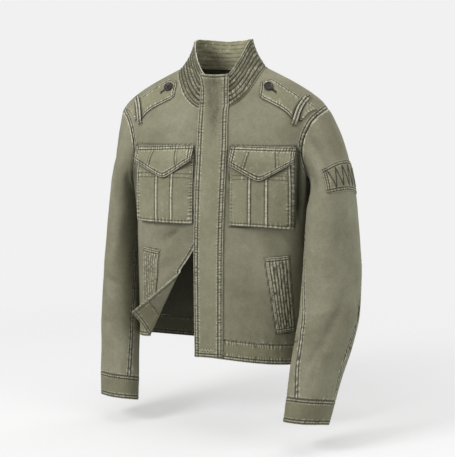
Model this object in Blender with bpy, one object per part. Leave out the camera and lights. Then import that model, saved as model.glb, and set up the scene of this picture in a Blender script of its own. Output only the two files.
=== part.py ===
"""Cotton twill field jacket, filled out as if worn, with nobody in it.

Metres. +Z up, the front faces -Y, and +X is the wearer's left. The origin lies inside the neck, level with
the shoulder seams at the collar, where the wearer's shoulders hold the jacket up. Every piece of cloth is a
wall: its outer face is worked out from the sizes below, and its inner face lies one cloth thickness behind.
"""

import math

import bpy
import numpy as np

# ------------------------------------------------------------------ driving sizes
CLOTH = 0.0018            # one layer of washed twill with its seam allowance
DOUBLED = 0.0024          # two layers sewn together: flaps, straps, bands
SEAM_GAP = 0.0003         # left between pieces that are sewn together
NECK_HALF_WIDTH = 0.096
NECK_FRONT = 0.086        # neckline in front of the origin
NECK_BACK = 0.054         # neckline behind the origin
HEM_BAND = 0.046
CENTRE_GAP = 0.0006       # between the two front edges, where they meet

# Level sections of the body, from the hem up to the neck.
# height, half width, depth to the front, depth to the back, squareness (2 is an ellipse)
BODY_SECTIONS = (
    (-0.670, 0.1975, 0.122, 0.118, 2.3),
    (-0.600, 0.1985, 0.124, 0.120, 2.3),
    (-0.500, 0.1995, 0.127, 0.121, 2.3),
    (-0.380, 0.201, 0.130, 0.123, 2.3),
    (-0.270, 0.205, 0.127, 0.125, 2.3),
    (-0.190, 0.223, 0.117, 0.122, 2.2),
    (-0.130, 0.239, 0.104, 0.112, 2.1),
    (-0.100, 0.242, 0.092, 0.101, 2.0),
    (-0.087, 0.2375, 0.086, 0.095, 2.0),
    (-0.072, 0.2265, 0.077, 0.086, 2.0),
    (-0.0545, 0.2060, 0.067, 0.077, 2.0),
    (-0.030, 0.167, 0.055, 0.067, 2.0),
    (-0.008, 0.124, 0.044, 0.058, 2.0),
    (0.006, 0.096, 0.037, 0.052, 2.0),
    (0.022, 0.070, 0.030, 0.044, 2.0),
)
BODY_COLUMNS = ("height", "half_width", "front", "back", "squareness")

# The hem's lower edge round the body: the left front hangs straight, the right front is drawn up.
# angle from the centre front towards the wearer's left (degrees), height
HEM_LEFT = ((0, -0.634), (45, -0.648), (90, -0.656), (135, -0.655), (180, -0.650))
HEM_RIGHT = ((0, -0.574), (30, -0.589), (48, -0.602), (90, -0.616), (135, -0.636), (180, -0.650))

# Armhole, seen from the side.
ARMHOLE_CENTRE = -0.1725
ARMHOLE_HALF_HEIGHT = 0.0855
ARMHOLE_FRONT = 0.066
ARMHOLE_BACK = 0.072

# Collar: a stand that narrows upwards and is open at the front.
# angle from the centre front (degrees), height of the top edge
COLLAR_TOP = ((0, -0.0125), (22, -0.0110), (45, 0.016), (62, 0.043), (80, 0.064), (110, 0.070), (180, 0.066))
COLLAR_TOP_HALF_WIDTH = 0.065
COLLAR_TOP_FRONT = 0.073
COLLAR_TOP_BACK = 0.057
COLLAR_ROWS = 7           # rows of stitching that quilt it
COLLAR_RIB = 0.0007       # how far the cloth rises between two rows

# Front fly: a doubled strip over the closure, sewn to the left front.
# height, x of its free edge, x of its sewn edge
FLY_EDGES = ((-0.640, -0.0335, 0.0300), (-0.400, -0.0325, 0.0325), (-0.174, -0.0290, 0.0375),
             (-0.090, -0.0320, 0.0330), (-0.012, -0.0370, 0.0290))
FLY_THICK = 0.0026

# The right front swings open below the fly's cover, and its corner turns out.
SWING_TOP = -0.290        # the edge leaves the centre line here
SWING_BEND = 1.85         # how late it swings
TURN_APEX = (-0.066, -0.434)   # x and height where the corner starts to turn
TURN_FOOT = (-0.153, -0.596)   # x and height where the fold meets the hem
TURN_CORNER_X = -0.067    # where the front edge would meet the hem if it lay flat
TURN_ANGLE = math.radians(132)
TURN_RADIUS = (0.0025, 0.0075)   # of the roll, at the apex and at the hem
TURN_REACHED = 0.26       # share of the fold's length by which it has turned all the way
RIGHT_ROWS = (0, 0.07, 0.14, 0.21, 0.28, 0.34, 0.40, 0.46, 0.54, 0.64, 0.76, 0.88)

# Chest pockets on each front (1 is the wearer's left, -1 the right). The inner edge is sewn flat, the outer
# one stands on a gusset, and the lower outer corner hangs a little.
POCKET_TOP = -0.183
POCKET_BOTTOM = {1: -0.3340, -1: -0.3325}
POCKET_INNER = {1: 0.0473, -1: 0.0358}     # x of the inner edge
POCKET_FACE = {1: 0.1660, -1: 0.1695}      # x of the face's outer edge
POCKET_OUTER = {1: 0.1790, -1: 0.1735}     # x of the gusset's root
POCKET_DROOP = {1: 0.0120, -1: 0.0010}
POCKET_PLEATS = {1: (0.0887, 0.1218), -1: (0.0812, 0.1172)}
POCKET_DEPTH = 0.011      # how far the bellows stand out
# Flaps: x and height of the top inner and top outer corners, the lower inner one, the point, the lower outer one.
FLAP_OUTLINE = {
    1: ((0.0470, -0.1655), (0.1812, -0.1692), (0.0440, -0.2080), (0.1062, -0.2405), (0.1705, -0.2035)),
    -1: ((0.0380, -0.1645), (0.1828, -0.1700), (0.0385, -0.1990), (0.1007, -0.2365), (0.1765, -0.2010)),
}

# Hand pockets: slanting welts, top and bottom: height, x of the inner edge, x of the outer edge.
WELT_LEFT = ((-0.408, 0.1225, 0.1680), (-0.576, 0.1465, 0.1785))
WELT_RIGHT = ((-0.400, 0.1190, 0.1640), (-0.549, 0.1365, 0.1690))
WELT_RIBS = 6

# Shoulder straps in plan, from the armhole to the pointed end.
# upper edge: out, forward; lower edge: out, forward
STRAP_EDGES = (
    (0.2205, 0.0330, 0.1905, 0.0600),
    (0.1880, 0.0385, 0.1730, 0.0672),
    (0.1520, 0.0355, 0.1370, 0.0665),
    (0.1167, 0.0325, 0.1060, 0.0640),
    (0.0975, 0.0440, 0.0985, 0.0612),
)
STRAP_LIFT = 0.0009
LOOP_ENDS = ((0.2010, 0.0215), (0.1740, 0.0720))  # the loop over the strap: out, forward
LOOP_HALF = 0.0050
BUTTON_AT = (0.1138, 0.0472)
BUTTON_RADIUS = 0.0102
BUTTON_THICK = 0.0038

# Sleeves: sections across the arm from the upper arm down to the end of the cuff.
# distance out, forward, height, half width along its longer axis, along its shorter one, turn (degrees)
LEFT_SLEEVE = (
    (0.2545, 0.026, -0.310, 0.0806, 0.0496, 16),
    (0.2580, 0.036, -0.385, 0.0806, 0.0511, 24),
    (0.2605, 0.053, -0.455, 0.0801, 0.0531, 29),
    (0.2600, 0.074, -0.520, 0.0776, 0.0546, 33),
    (0.2520, 0.100, -0.585, 0.0716, 0.0536, 38),
    (0.2410, 0.124, -0.645, 0.0656, 0.0486, 40),
    (0.2325, 0.142, -0.704, 0.0596, 0.0446, 40),
    (0.2245, 0.155, -0.755, 0.0561, 0.0406, 40),
)
RIGHT_SLEEVE = (
    (0.2460, -0.040, -0.310, 0.0816, 0.0391, 0),
    (0.2525, -0.036, -0.385, 0.0796, 0.0416, 3),
    (0.2560, -0.024, -0.455, 0.0766, 0.0436, 8),
    (0.2550, -0.010, -0.525, 0.0726, 0.0456, 12),
    (0.2520, 0.006, -0.590, 0.0676, 0.0461, 15),
    (0.2490, 0.021, -0.650, 0.0616, 0.0441, 30),
    (0.2455, 0.036, -0.710, 0.0576, 0.0421, 44),
    (0.2415, 0.050, -0.762, 0.0561, 0.0391, 49),
)
# How each sleeve's cap leaves the armhole, at the shoulder, front and back, and under the arm: out, down
CAP_LEAVES = {1: ((0.54, -0.84), (0.90, -0.40), (0.40, -0.92)), -1: ((0.22, -0.97), (0.70, -0.60), (0.35, -0.94))}
SLEEVE_COLUMNS = ("out", "forward", "height", "long", "short", "turn")
# Seams of the two-piece sleeve, as angles round it (0 outside, 90 front, 180 inside, 270 back):
# share of the length, front seam, back seam
SLEEVE_SEAMS = {
    1: ((0.0, 163.636, -65.455), (0.3, 156, -62), (0.6, 134, -20), (0.75, 130.5, 4), (0.8, 129, 3),
        (0.909, 120, -8), (1.0, 114, -12)),
    -1: ((0.0, 163.636, -65.455), (0.3, 156, -62), (0.6, 143, -38), (0.8, 139, -28), (1.0, 136, -22)),
}
CUFF_TILT = 0.007         # how much higher the outside of the forearm ends than its middle
CAP_ROWS = 8
ARM_ROWS = 11
UPPER_COLUMNS = 14        # round the upper piece; with the under piece's it matches the armhole's points
UNDER_COLUMNS = 8
# Sleeve patch, its front and its back edge: angle round the sleeve, top and bottom as shares of its length
PATCH_EDGES = ((87, 0.153, 0.265), (-38, 0.205, 0.305))

# Large soft folds pressed into the fronts and back. x, height at each end, reach across, depth, side.
BODY_FOLDS = (
    (-0.040, -0.345, -0.150, -0.395, 0.016, 0.0030, "front"),
    (-0.060, -0.395, -0.170, -0.455, 0.014, -0.0025, "front"),
    (0.060, -0.350, 0.120, -0.392, 0.018, 0.0022, "front"),
    (0.165, -0.235, 0.110, -0.130, 0.015, 0.0028, "front"),
    (-0.165, -0.235, -0.110, -0.130, 0.015, 0.0028, "front"),
    (0.150, -0.260, 0.060, -0.200, 0.020, 0.0035, "back"),
    (-0.150, -0.260, -0.060, -0.200, 0.020, 0.0035, "back"),
    (0.120, -0.470, -0.020, -0.520, 0.022, 0.0035, "back"),
    (-0.130, -0.430, 0.010, -0.475, 0.022, 0.0030, "back"),
)

KHAKI = (0.262, 0.255, 0.185)
HORN = (0.030, 0.026, 0.026)


# ------------------------------------------------------------------ sums shared by all pieces
def smooth_step(share):
    share = np.clip(share, 0.0, 1.0)
    return share * share * (3 - 2 * share)


def through(rows, at, column=1):
    """A smooth curve through a table's rows: the value of a column where the first column is `at`."""
    table = np.array(rows, float)
    knots, values = table[:, 0], table[:, column]
    steps, rises = np.diff(knots), np.diff(values)
    slopes = rises / steps
    inner = np.where(
        slopes[1:] * slopes[:-1] > 0,
        2 * slopes[1:] * slopes[:-1] / np.where(slopes[1:] + slopes[:-1] == 0, 1, slopes[1:] + slopes[:-1]),
        0.0,
    )
    tangents = np.concatenate([slopes[:1], inner, slopes[-1:]])
    at = np.clip(np.asarray(at, float), knots[0], knots[-1])
    i = np.clip(np.searchsorted(knots, at, side="right") - 1, 0, len(knots) - 2)
    t = (at - knots[i]) / steps[i]
    return (
        values[i] * (1 + 2 * t) * (1 - t) ** 2
        + values[i + 1] * t * t * (3 - 2 * t)
        + tangents[i] * steps[i] * t * (1 - t) ** 2
        - tangents[i + 1] * steps[i] * t * t * (1 - t)
    )


def unit(vectors):
    return vectors / np.linalg.norm(vectors, axis=-1, keepdims=True)


def material(name, colour, roughness):
    made = bpy.data.materials.get(name)
    if made:
        return made
    made = bpy.data.materials.new(name)
    made.use_nodes = True
    shader = made.node_tree.nodes["Principled BSDF"]
    shader.inputs["Base Color"].default_value = (*colour, 1.0)
    shader.inputs["Roughness"].default_value = roughness
    shader.inputs["Metallic"].default_value = 0.0
    return made


def face_outwards(mesh, points, faces):
    """Turns a closed mesh's faces round if they enclose a negative volume."""
    middle = points.mean(0)
    fans = np.array([(f[0], f[i], f[i + 1]) for f in faces for i in range(1, len(f) - 1)])
    if np.linalg.det(points[fans] - middle).sum() < 0:
        mesh.flip_normals()


def wall(name, outer, inner, ring=False):
    """A wall of cloth between two grids of points (rows by columns). A ring closes on itself along its columns."""
    rows, columns = outer.shape[:2]
    points = np.concatenate([outer.reshape(-1, 3), inner.reshape(-1, 3)])
    behind = rows * columns
    steps = columns if ring else columns - 1

    def at(i, j, side=0):
        return side * behind + i * columns + j % columns

    faces = []
    for i in range(rows - 1):
        for j in range(steps):
            faces.append((at(i, j), at(i, j + 1), at(i + 1, j + 1), at(i + 1, j)))
            faces.append((at(i, j, 1), at(i + 1, j, 1), at(i + 1, j + 1, 1), at(i, j + 1, 1)))
    for j in range(steps):
        faces.append((at(0, j), at(0, j, 1), at(0, j + 1, 1), at(0, j + 1)))
        faces.append((at(rows - 1, j), at(rows - 1, j + 1), at(rows - 1, j + 1, 1), at(rows - 1, j, 1)))
    if not ring:
        for i in range(rows - 1):
            faces.append((at(i, 0), at(i + 1, 0), at(i + 1, 0, 1), at(i, 0, 1)))
            last = columns - 1
            faces.append((at(i, last), at(i, last, 1), at(i + 1, last, 1), at(i + 1, last)))
    mesh = bpy.data.meshes.new(name)
    mesh.from_pydata(points.tolist(), [], faces)
    face_outwards(mesh, points, faces)
    mesh.shade_smooth()
    mesh.set_sharp_from_angle(angle=math.radians(40))
    mesh.materials.append(material("washed_twill", KHAKI, 0.9))
    made = bpy.data.objects.new(name, mesh)
    bpy.context.scene.collection.objects.link(made)
    return made


# ------------------------------------------------------------------ the body's surface
def section(height):
    return {name: through(BODY_SECTIONS, height, i) for i, name in enumerate(BODY_COLUMNS) if i}


def body_at(angle, height):
    """The point of the body's surface at an angle from the centre front (radians, to the wearer's left)."""
    cut = section(height)
    power = 2 / cut["squareness"]
    side, ahead = np.sin(angle), np.cos(angle)
    depth = np.where(ahead > 0, cut["front"], cut["back"])
    x = cut["half_width"] * np.sign(side) * np.abs(side) ** power
    y = -depth * np.sign(ahead) * np.abs(ahead) ** power
    return np.stack(np.broadcast_arrays(x, y, height), -1)


def angle_of(x, height):
    """The angle of the front's point at this x."""
    cut = section(height)
    share = np.clip(np.abs(x) / cut["half_width"], 0, 1)
    return np.sign(x) * np.arcsin(share ** (cut["squareness"] / 2))


def fullness(x, y, height):
    """1 on the body's surface, less inside it."""
    cut = section(height)
    depth = np.where(y < 0, cut["front"], cut["back"])
    n = cut["squareness"]
    return (np.abs(x) / cut["half_width"]) ** n + (np.abs(y) / depth) ** n


def height_over(x, y):
    """The height of the shoulders' surface over a place in plan."""
    low, high = np.full(np.shape(x), -0.25), np.full(np.shape(x), 0.02)
    for _ in range(40):
        middle = (low + high) / 2
        inside = fullness(x, y, middle) < 1
        low, high = np.where(inside, middle, low), np.where(inside, high, middle)
    return (low + high) / 2


def body_normal(points):
    x, y, z = points[..., 0], points[..., 1], points[..., 2]
    step = 0.0005
    gradient = np.stack(
        [
            fullness(x + step, y, z) - fullness(x - step, y, z),
            fullness(x, y + step, z) - fullness(x, y - step, z),
            fullness(x, y, z + step) - fullness(x, y, z - step),
        ],
        -1,
    )
    return unit(gradient)


def fold_height(points):
    """How far the large folds move the cloth in or out at these places."""
    x, y, z = points[..., 0], points[..., 1], points[..., 2]
    total = np.zeros(x.shape)
    for x0, z0, x1, z1, reach, depth, side in BODY_FOLDS:
        run = np.array([x1 - x0, z1 - z0])
        share = ((x - x0) * run[0] + (z - z0) * run[1]) / (run @ run)
        across = ((x - x0) * run[1] - (z - z0) * run[0]) / math.hypot(*run)
        facing = y < 0 if side == "front" else y > 0
        fade = np.sin(np.pi * np.clip(share, 0, 1)) ** 2
        total -= depth * fade * np.exp(-((across / reach) ** 2)) * facing
    return total


def body_skin(points, out=0.0):
    """Points of the plain surface with the folds pressed in, moved out by `out`."""
    reach = np.asarray(fold_height(points) + out)
    return points + body_normal(points) * reach[..., None]


def front_at(x, height):
    """The plain front surface at this x and height."""
    return body_at(angle_of(x, height), height)


def body_wall(name, points, thick=CLOTH, out=0.0):
    return wall(name, body_skin(points, out), body_skin(points, out - thick))


# ------------------------------------------------------------------ seams of the body
def neckline(angle):
    """The neckline: an egg in plan, let down on to the body's surface."""
    ahead = np.cos(angle)
    x = NECK_HALF_WIDTH * np.sin(angle)
    y = -np.where(ahead > 0, NECK_FRONT, NECK_BACK) * ahead
    return np.stack([x, y, height_over(x, y)], -1)


def armhole(angle, side):
    """The armhole: 0 at the shoulder, 90 degrees at the front, 180 under the arm, 270 at the back."""
    ahead = np.sin(angle)
    height = ARMHOLE_CENTRE + ARMHOLE_HALF_HEIGHT * np.cos(angle)
    y = -np.where(ahead > 0, ARMHOLE_FRONT, ARMHOLE_BACK) * ahead
    cut = section(height)
    depth = np.where(y < 0, cut["front"], cut["back"])
    n = cut["squareness"]
    x = side * cut["half_width"] * (1 - (np.abs(y) / depth) ** n) ** (1 / n)
    return np.stack([x, y, height], -1)


def surface_angle(points):
    """The angle from the centre front of points on the surface, front or back."""
    cut = section(points[..., 2])
    share = np.clip(np.abs(points[..., 0]) / cut["half_width"], 0, 1) ** (cut["squareness"] / 2)
    inner = np.arcsin(share)
    return np.where(points[..., 1] > 0, np.pi - inner, inner)


def hem_height(angle):
    """The lower edge of the hem at an angle from the centre front, in radians, positive to the wearer's left."""
    degrees = np.degrees(angle)
    return np.where(degrees >= 0, through(HEM_LEFT, np.abs(degrees)), through(HEM_RIGHT, np.abs(degrees)))


ARMPIT = ARMHOLE_CENTRE - ARMHOLE_HALF_HEIGHT
SIDE_ROWS = 9
UPPER_ROWS = 11
NECK_ROW = 5              # the upper row that ends at the bottom of the neckline
FRONT_COLUMNS = 12
SEAM_ANGLE = SEAM_GAP / 2 / 0.13   # half a seam's gap, as an angle near the side seam


def height_below_arm(angle, share):
    """A height between the hem band's seam (share 0) and the level of the armpit (share 1)."""
    low = hem_height(angle) + HEM_BAND + SEAM_GAP
    return low + (ARMPIT - low) * share


def quarter(front, side):
    """Angles and heights of a quarter of the body, from its middle line to its side seam and armhole.

    Rows run up from the band's seam at the hem to the shoulder seam; columns run outwards.
    """
    middle = math.pi * (not front)
    seam = math.pi / 2 - (SEAM_ANGLE if front else -SEAM_ANGLE)
    shares = np.linspace(0, 1, FRONT_COLUMNS + 1)
    angles, heights = [], []

    def add_row(inner, outer):
        angles.append(inner[0] + (outer[0] - inner[0]) * shares)
        heights.append(inner[1] + (outer[1] - inner[1]) * shares)

    for share in np.linspace(0, 1, SIDE_ROWS, endpoint=False):
        row_angles = middle + (seam - middle) * shares
        angles.append(row_angles)
        heights.append(height_below_arm(side * row_angles, share))
    neck_low = neckline(np.array(middle))
    for i in range(UPPER_ROWS + 1):
        if i <= NECK_ROW:
            height = ARMPIT + (neck_low[2] - ARMPIT) * i / NECK_ROW
            inner = (middle, height)
        else:
            around = middle + (math.pi / 2 - middle) * (i - NECK_ROW) / (UPPER_ROWS - NECK_ROW)
            point = neckline(np.array(around))
            inner = (surface_angle(point) if i < UPPER_ROWS else math.pi / 2, point[2])
        turn = math.pi * (1 - i / UPPER_ROWS)
        point = armhole(np.array(turn if front else -turn), 1)
        outer = (surface_angle(point) if 0 < i < UPPER_ROWS else seam, point[2])
        add_row(inner, outer)
    angles, heights = np.array(angles), np.array(heights)
    # The last row is the shoulder seam: keep half the seam's gap to the other side's panel.
    angles[-1] = math.pi / 2 - (0.002 if front else -0.002)
    return angles, heights


def right_front_edge(height):
    """x of the right front's edge if it lay flat: on the centre line above, drawn aside below."""
    swung = np.clip((SWING_TOP - height) / (SWING_TOP - TURN_APEX[1]), 0, 1) ** SWING_BEND
    below = np.clip((TURN_APEX[1] - height) / (TURN_APEX[1] - TURN_FOOT[1]), 0, 1)
    return -CENTRE_GAP / 2 + (TURN_APEX[0] + CENTRE_GAP / 2) * swung + (TURN_CORNER_X - TURN_APEX[0]) * below


def turned(x, height, out):
    """A place on the right front, with its lower corner rolled outwards about a slanting fold."""
    apex, foot = np.array(TURN_APEX), np.array(TURN_FOOT)
    along = unit(foot - apex)
    across = np.array([-along[1], along[0]])
    from_apex = np.stack([x, height], -1) - apex
    travel = from_apex @ along
    beyond = np.maximum(from_apex @ across, 0)
    base = np.stack([x, height], -1) - across * beyond[..., None]
    share = np.clip(travel / np.linalg.norm(foot - apex), 0, 1.3)
    radius = TURN_RADIUS[0] + (TURN_RADIUS[1] - TURN_RADIUS[0]) * share
    most = TURN_ANGLE * smooth_step(share / TURN_REACHED)
    turn = np.minimum(beyond / radius, most)
    straight = np.maximum(beyond - radius * most, 0)
    shift = radius * np.sin(turn) + straight * np.cos(turn)
    lift = radius * (1 - np.cos(turn)) + straight * np.sin(turn)
    plain = front_at(base[..., 0], base[..., 1])
    root = body_skin(plain)
    normal = body_normal(plain)
    ahead = front_at(base[..., 0] + across[0] * 0.002, base[..., 1] + across[1] * 0.002)
    tangent = unit(ahead - plain)
    facing = normal * np.cos(turn)[..., None] - tangent * np.sin(turn)[..., None]
    return root + tangent * shift[..., None] + normal * lift[..., None] + facing * out


def fold_column(height, edge):
    """x of the column of points that follows the fold, or an even spacing above it."""
    slope = (TURN_FOOT[0] - TURN_APEX[0]) / (TURN_FOOT[1] - TURN_APEX[1])
    on_fold = TURN_APEX[0] + (height - TURN_APEX[1]) * slope
    even = edge - 0.075 + 0.059 * smooth_step((-0.24 - height) / 0.19)
    return np.where(height < TURN_APEX[1], np.minimum(on_fold, edge - 0.016), even)


TURN_COLUMNS = 6          # columns between the free edge and the fold


def right_front_row(inner_height):
    """Angles of a row of the right front below the neck, with columns packed where the corner rolls."""
    edge = right_front_edge(np.array(inner_height))
    fold = fold_column(np.array(inner_height), edge)
    near = angle_of(np.linspace(edge, fold, TURN_COLUMNS, endpoint=False), inner_height)
    far = np.linspace(angle_of(fold, inner_height), SEAM_ANGLE - math.pi / 2, FRONT_COLUMNS - TURN_COLUMNS + 1)
    return np.concatenate([near, far])


def front_points(angles, heights, out):
    """The right front's points, rolled where the corner turns out."""
    plain = body_at(angles, heights)
    rolls = (heights < TURN_APEX[1] + 0.02) & (plain[..., 0] > TURN_FOOT[0] - 0.04)
    return np.where(rolls[..., None], turned(plain[..., 0], heights, out), body_skin(plain, out))


# ------------------------------------------------------------------ body panels and the hem band
def make_fronts():
    angles, heights = quarter(front=True, side=1)
    below_neck = np.arange(len(angles)) <= SIDE_ROWS + NECK_ROW
    first = CENTRE_GAP / 2 / section(heights[:, 0])["half_width"]
    angles[below_neck, 0] = first[below_neck]
    body_wall("front_left", body_at(angles, heights))

    angles, heights = quarter(front=True, side=-1)
    angles = -angles
    angles[below_neck, 0] = -first[below_neck]
    low = []
    for share in RIGHT_ROWS:
        inner = height_below_arm(np.array(-0.001), share) - (0 if share else SEAM_GAP)
        low.append(right_front_row(inner))
    low_heights = [height_below_arm(row, share) for row, share in zip(low, RIGHT_ROWS)]
    angles = np.concatenate([low, angles[SIDE_ROWS:]])
    heights = np.concatenate([low_heights, heights[SIDE_ROWS:]])
    wall("front_right", front_points(angles, heights, 0.0), front_points(angles, heights, -CLOTH))


SHOULDER_COLUMNS = 7
NECK_COLUMNS = 10


def make_back():
    """One piece from side seam to side seam. Its top edge is a shoulder seam, the neckline, a shoulder seam."""
    columns = 2 * SHOULDER_COLUMNS + NECK_COLUMNS
    seam = math.pi / 2 + SEAM_ANGLE
    below = np.linspace(seam, 2 * math.pi - seam, columns + 1)
    angles = [below] * SIDE_ROWS
    signed = np.where(below > math.pi, below - 2 * math.pi, below)
    heights = [height_below_arm(signed, share) for share in np.linspace(0, 1, SIDE_ROWS, endpoint=False)]

    shoulder_x = np.linspace(section(np.array(ARMHOLE_CENTRE + ARMHOLE_HALF_HEIGHT))["half_width"],
                             NECK_HALF_WIDTH, SHOULDER_COLUMNS + 1)
    shoulder_z = height_over(shoulder_x, np.zeros(SHOULDER_COLUMNS + 1))
    ridge = np.full(SHOULDER_COLUMNS, math.pi / 2 + 0.002)
    neck = neckline(np.linspace(math.pi / 2, 3 * math.pi / 2, NECK_COLUMNS + 1))
    neck_angle = surface_angle(neck + np.array([0, 1e-6, 0]))
    neck_angle = np.where(neck[:, 0] < 0, 2 * math.pi - neck_angle, neck_angle)
    neck_angle[[0, -1]] = ridge[0], 2 * math.pi - ridge[0]
    top_angle = np.concatenate([ridge, neck_angle, 2 * math.pi - ridge])
    top_height = np.concatenate([shoulder_z[:-1], neck[:, 2], shoulder_z[-2::-1]])

    hole = armhole(-np.linspace(math.pi, 0, UPPER_ROWS + 1), 1)
    side_angle = surface_angle(hole)
    side_angle[0], side_angle[-1] = seam, ridge[0]
    side_height = hole[:, 2]
    side_height[-1] = top_height[0]
    u = np.linspace(0, 1, columns + 1)
    for i in range(UPPER_ROWS + 1):
        v = i / UPPER_ROWS
        ends = side_angle[i] * (1 - u) + (2 * math.pi - side_angle[i]) * u
        corners = (seam * (1 - v) + ridge[0] * v) * (1 - u) + (2 * math.pi - seam * (1 - v) - ridge[0] * v) * u
        angles.append((1 - v) * below + v * top_angle + ends - corners)
        corner_height = ARMPIT * (1 - v) + top_height[0] * v
        heights.append((1 - v) * ARMPIT + v * top_height + side_height[i] - corner_height)
    body_wall("back", body_at(np.array(angles), np.array(heights)))


def make_hem_bands():
    """The band is sewn to the lower edges of the panels and goes on down in the same line."""
    drops = np.linspace(HEM_BAND, 0, 3)
    angles = np.tile(np.linspace(CENTRE_GAP / 2 / 0.2, math.pi / 2 - SEAM_ANGLE, FRONT_COLUMNS + 1), (3, 1))
    heights = hem_height(angles) + drops[:, None]
    body_wall("hem_band_left", body_at(angles, heights), DOUBLED, 0.0004)

    columns = 2 * SHOULDER_COLUMNS + NECK_COLUMNS
    angles = np.tile(np.linspace(math.pi / 2 + SEAM_ANGLE, 3 * math.pi / 2 - SEAM_ANGLE, columns + 1), (3, 1))
    signed = np.where(angles > math.pi, angles - 2 * math.pi, angles)
    body_wall("hem_band_back", body_at(angles, hem_height(signed) + drops[:, None]), DOUBLED, 0.0004)

    angles = np.array([right_front_row(hem_height(np.array(-0.001)) + drop) for drop in drops])
    heights = hem_height(angles) + drops[:, None]
    wall("hem_band_right", front_points(angles, heights, 0.0004), front_points(angles, heights, 0.0004 - DOUBLED))


# ------------------------------------------------------------------ collar and front fly
def collar_top(angle):
    degrees = np.abs(np.degrees(angle))
    degrees = np.where(degrees > 180, 360 - degrees, degrees)
    ahead = np.cos(angle)
    y = -np.where(ahead > 0, COLLAR_TOP_FRONT, COLLAR_TOP_BACK) * ahead
    return np.stack([COLLAR_TOP_HALF_WIDTH * np.sin(angle), y, through(COLLAR_TOP, degrees)], -1)


def collar_at(angle, share):
    """The collar's outer face: share 0 is the neck seam and 1 the top edge. It hollows a little between."""
    low, high = neckline(angle), collar_top(angle)
    outward = unit(np.stack([np.sin(angle), -np.cos(angle), np.zeros_like(angle)], -1))
    hollow = 0.004 * np.sin(np.pi * share)
    return low + (high - low) * share[..., None] - outward * hollow[..., None]


def collar_normal(angle, share):
    step = 0.004
    around = collar_at(angle + step, share) - collar_at(angle - step, share)
    up = collar_at(angle, np.minimum(share + step, 1)) - collar_at(angle, np.maximum(share - step, 0))
    return unit(np.cross(around, up))


def make_collar():
    opening = CENTRE_GAP / NECK_FRONT
    angles = np.linspace(opening, 2 * math.pi - opening, 35)
    shares = np.linspace(0.018, 1, 2 * COLLAR_ROWS + 1)
    grid_angle, grid_share = np.meshgrid(angles, shares)
    ribs = COLLAR_RIB * np.abs(np.sin(np.pi * COLLAR_ROWS * grid_share))
    base, normal = collar_at(grid_angle, grid_share), collar_normal(grid_angle, grid_share)
    wall("collar", base + normal * ribs[..., None], base - normal * DOUBLED)


def make_fly():
    """It lies on the fronts, and above the neck seam on the collar."""
    neck_height = neckline(np.array(0.0))[2]
    top = COLLAR_TOP[0][1] - 0.001
    heights = np.concatenate([
        np.linspace(hem_height(np.array(0.0)) + 0.001, neck_height, 20, endpoint=False),
        np.linspace(neck_height, top, 5),
    ])
    clear = COLLAR_RIB + SEAM_GAP + 0.0009
    outer, inner = [], []
    for height in heights:
        across = np.linspace(through(FLY_EDGES, height, 1), through(FLY_EDGES, height, 2), 5)
        share = np.clip((height - neck_height) / (top - neck_height), 0, 1)
        if height < neck_height:
            plain = front_at(across, np.full(5, height))
            base, normal = body_skin(plain), body_normal(plain)
        else:
            angles = np.arcsin(across / (NECK_HALF_WIDTH + (COLLAR_TOP_HALF_WIDTH - NECK_HALF_WIDTH) * share))
            shares = np.full(5, share)
            base, normal = collar_at(angles, shares), collar_normal(angles, shares)
        outer.append(base + normal * (clear + FLY_THICK))
        inner.append(base + normal * clear)
    wall("front_fly", np.array(outer), np.array(inner))


# ------------------------------------------------------------------ chest pockets and their flaps
def make_chest_pocket(name, side):
    """A bellows pocket: sewn flat at its inner edge, standing off the front on a gusset at its outer one."""
    inner, face, outer, bottom = (size[side] for size in (POCKET_INNER, POCKET_FACE, POCKET_OUTER, POCKET_BOTTOM))
    first, second = POCKET_PLEATS[side]
    x = np.array([inner, inner + 0.0015, inner + 0.014, inner + 0.030, first - 0.004, first, (first + second) / 2,
                  second, second + 0.004, face - 0.020, face, outer])
    stand = np.array([0, 0.10, 0.62, 0.95, 1, 0.80, 0.96, 0.80, 1, 1, 0.92, 0]) * POCKET_DEPTH
    heights = np.array([bottom, bottom + 0.0006, -0.315, -0.275, -0.235, -0.205, POCKET_TOP])
    rise = np.array([0.02, 0.92, 1, 1, 0.9, 0.5, 0.0])
    grid_z, grid_x = np.meshgrid(heights, x, indexing="ij")
    hang = (grid_x - inner) / (outer - inner) * (POCKET_TOP - grid_z) / (POCKET_TOP - bottom)
    grid_z = grid_z - POCKET_DROOP[side] * hang ** 2
    plain = front_at(side * grid_x, grid_z)
    out = 0.0009 + CLOTH + np.outer(rise, stand)
    under = out - CLOTH
    wall(name, body_skin(plain, out), body_skin(plain, under))


def make_flap(name, side):
    """A pointed flap, sewn down along its top edge and hanging over the pocket."""
    top_inner, top_outer, low_inner, point, low_outer = np.array(FLAP_OUTLINE[side])
    across = np.linspace(0, 1, 9)[:, None]
    downs = np.array([0, 0.12, 0.3, 0.5, 0.75, 1.0])[:, None, None]
    top = top_inner + (top_outer - top_inner) * across
    low = np.where(across < 0.5, low_inner + (point - low_inner) * 2 * across,
                   point + (low_outer - point) * (2 * across - 1))
    place = top + (low - top) * downs
    plain = front_at(side * place[..., 0], place[..., 1])
    sewn = 0.0009
    over_pocket = CLOTH + POCKET_DEPTH + 5 * SEAM_GAP
    lift = sewn + (over_pocket - sewn) * smooth_step((top[:, 1] + 0.001 - place[..., 1]) / 0.037)
    wall(name, body_skin(plain, lift + DOUBLED), body_skin(plain, lift))


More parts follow.
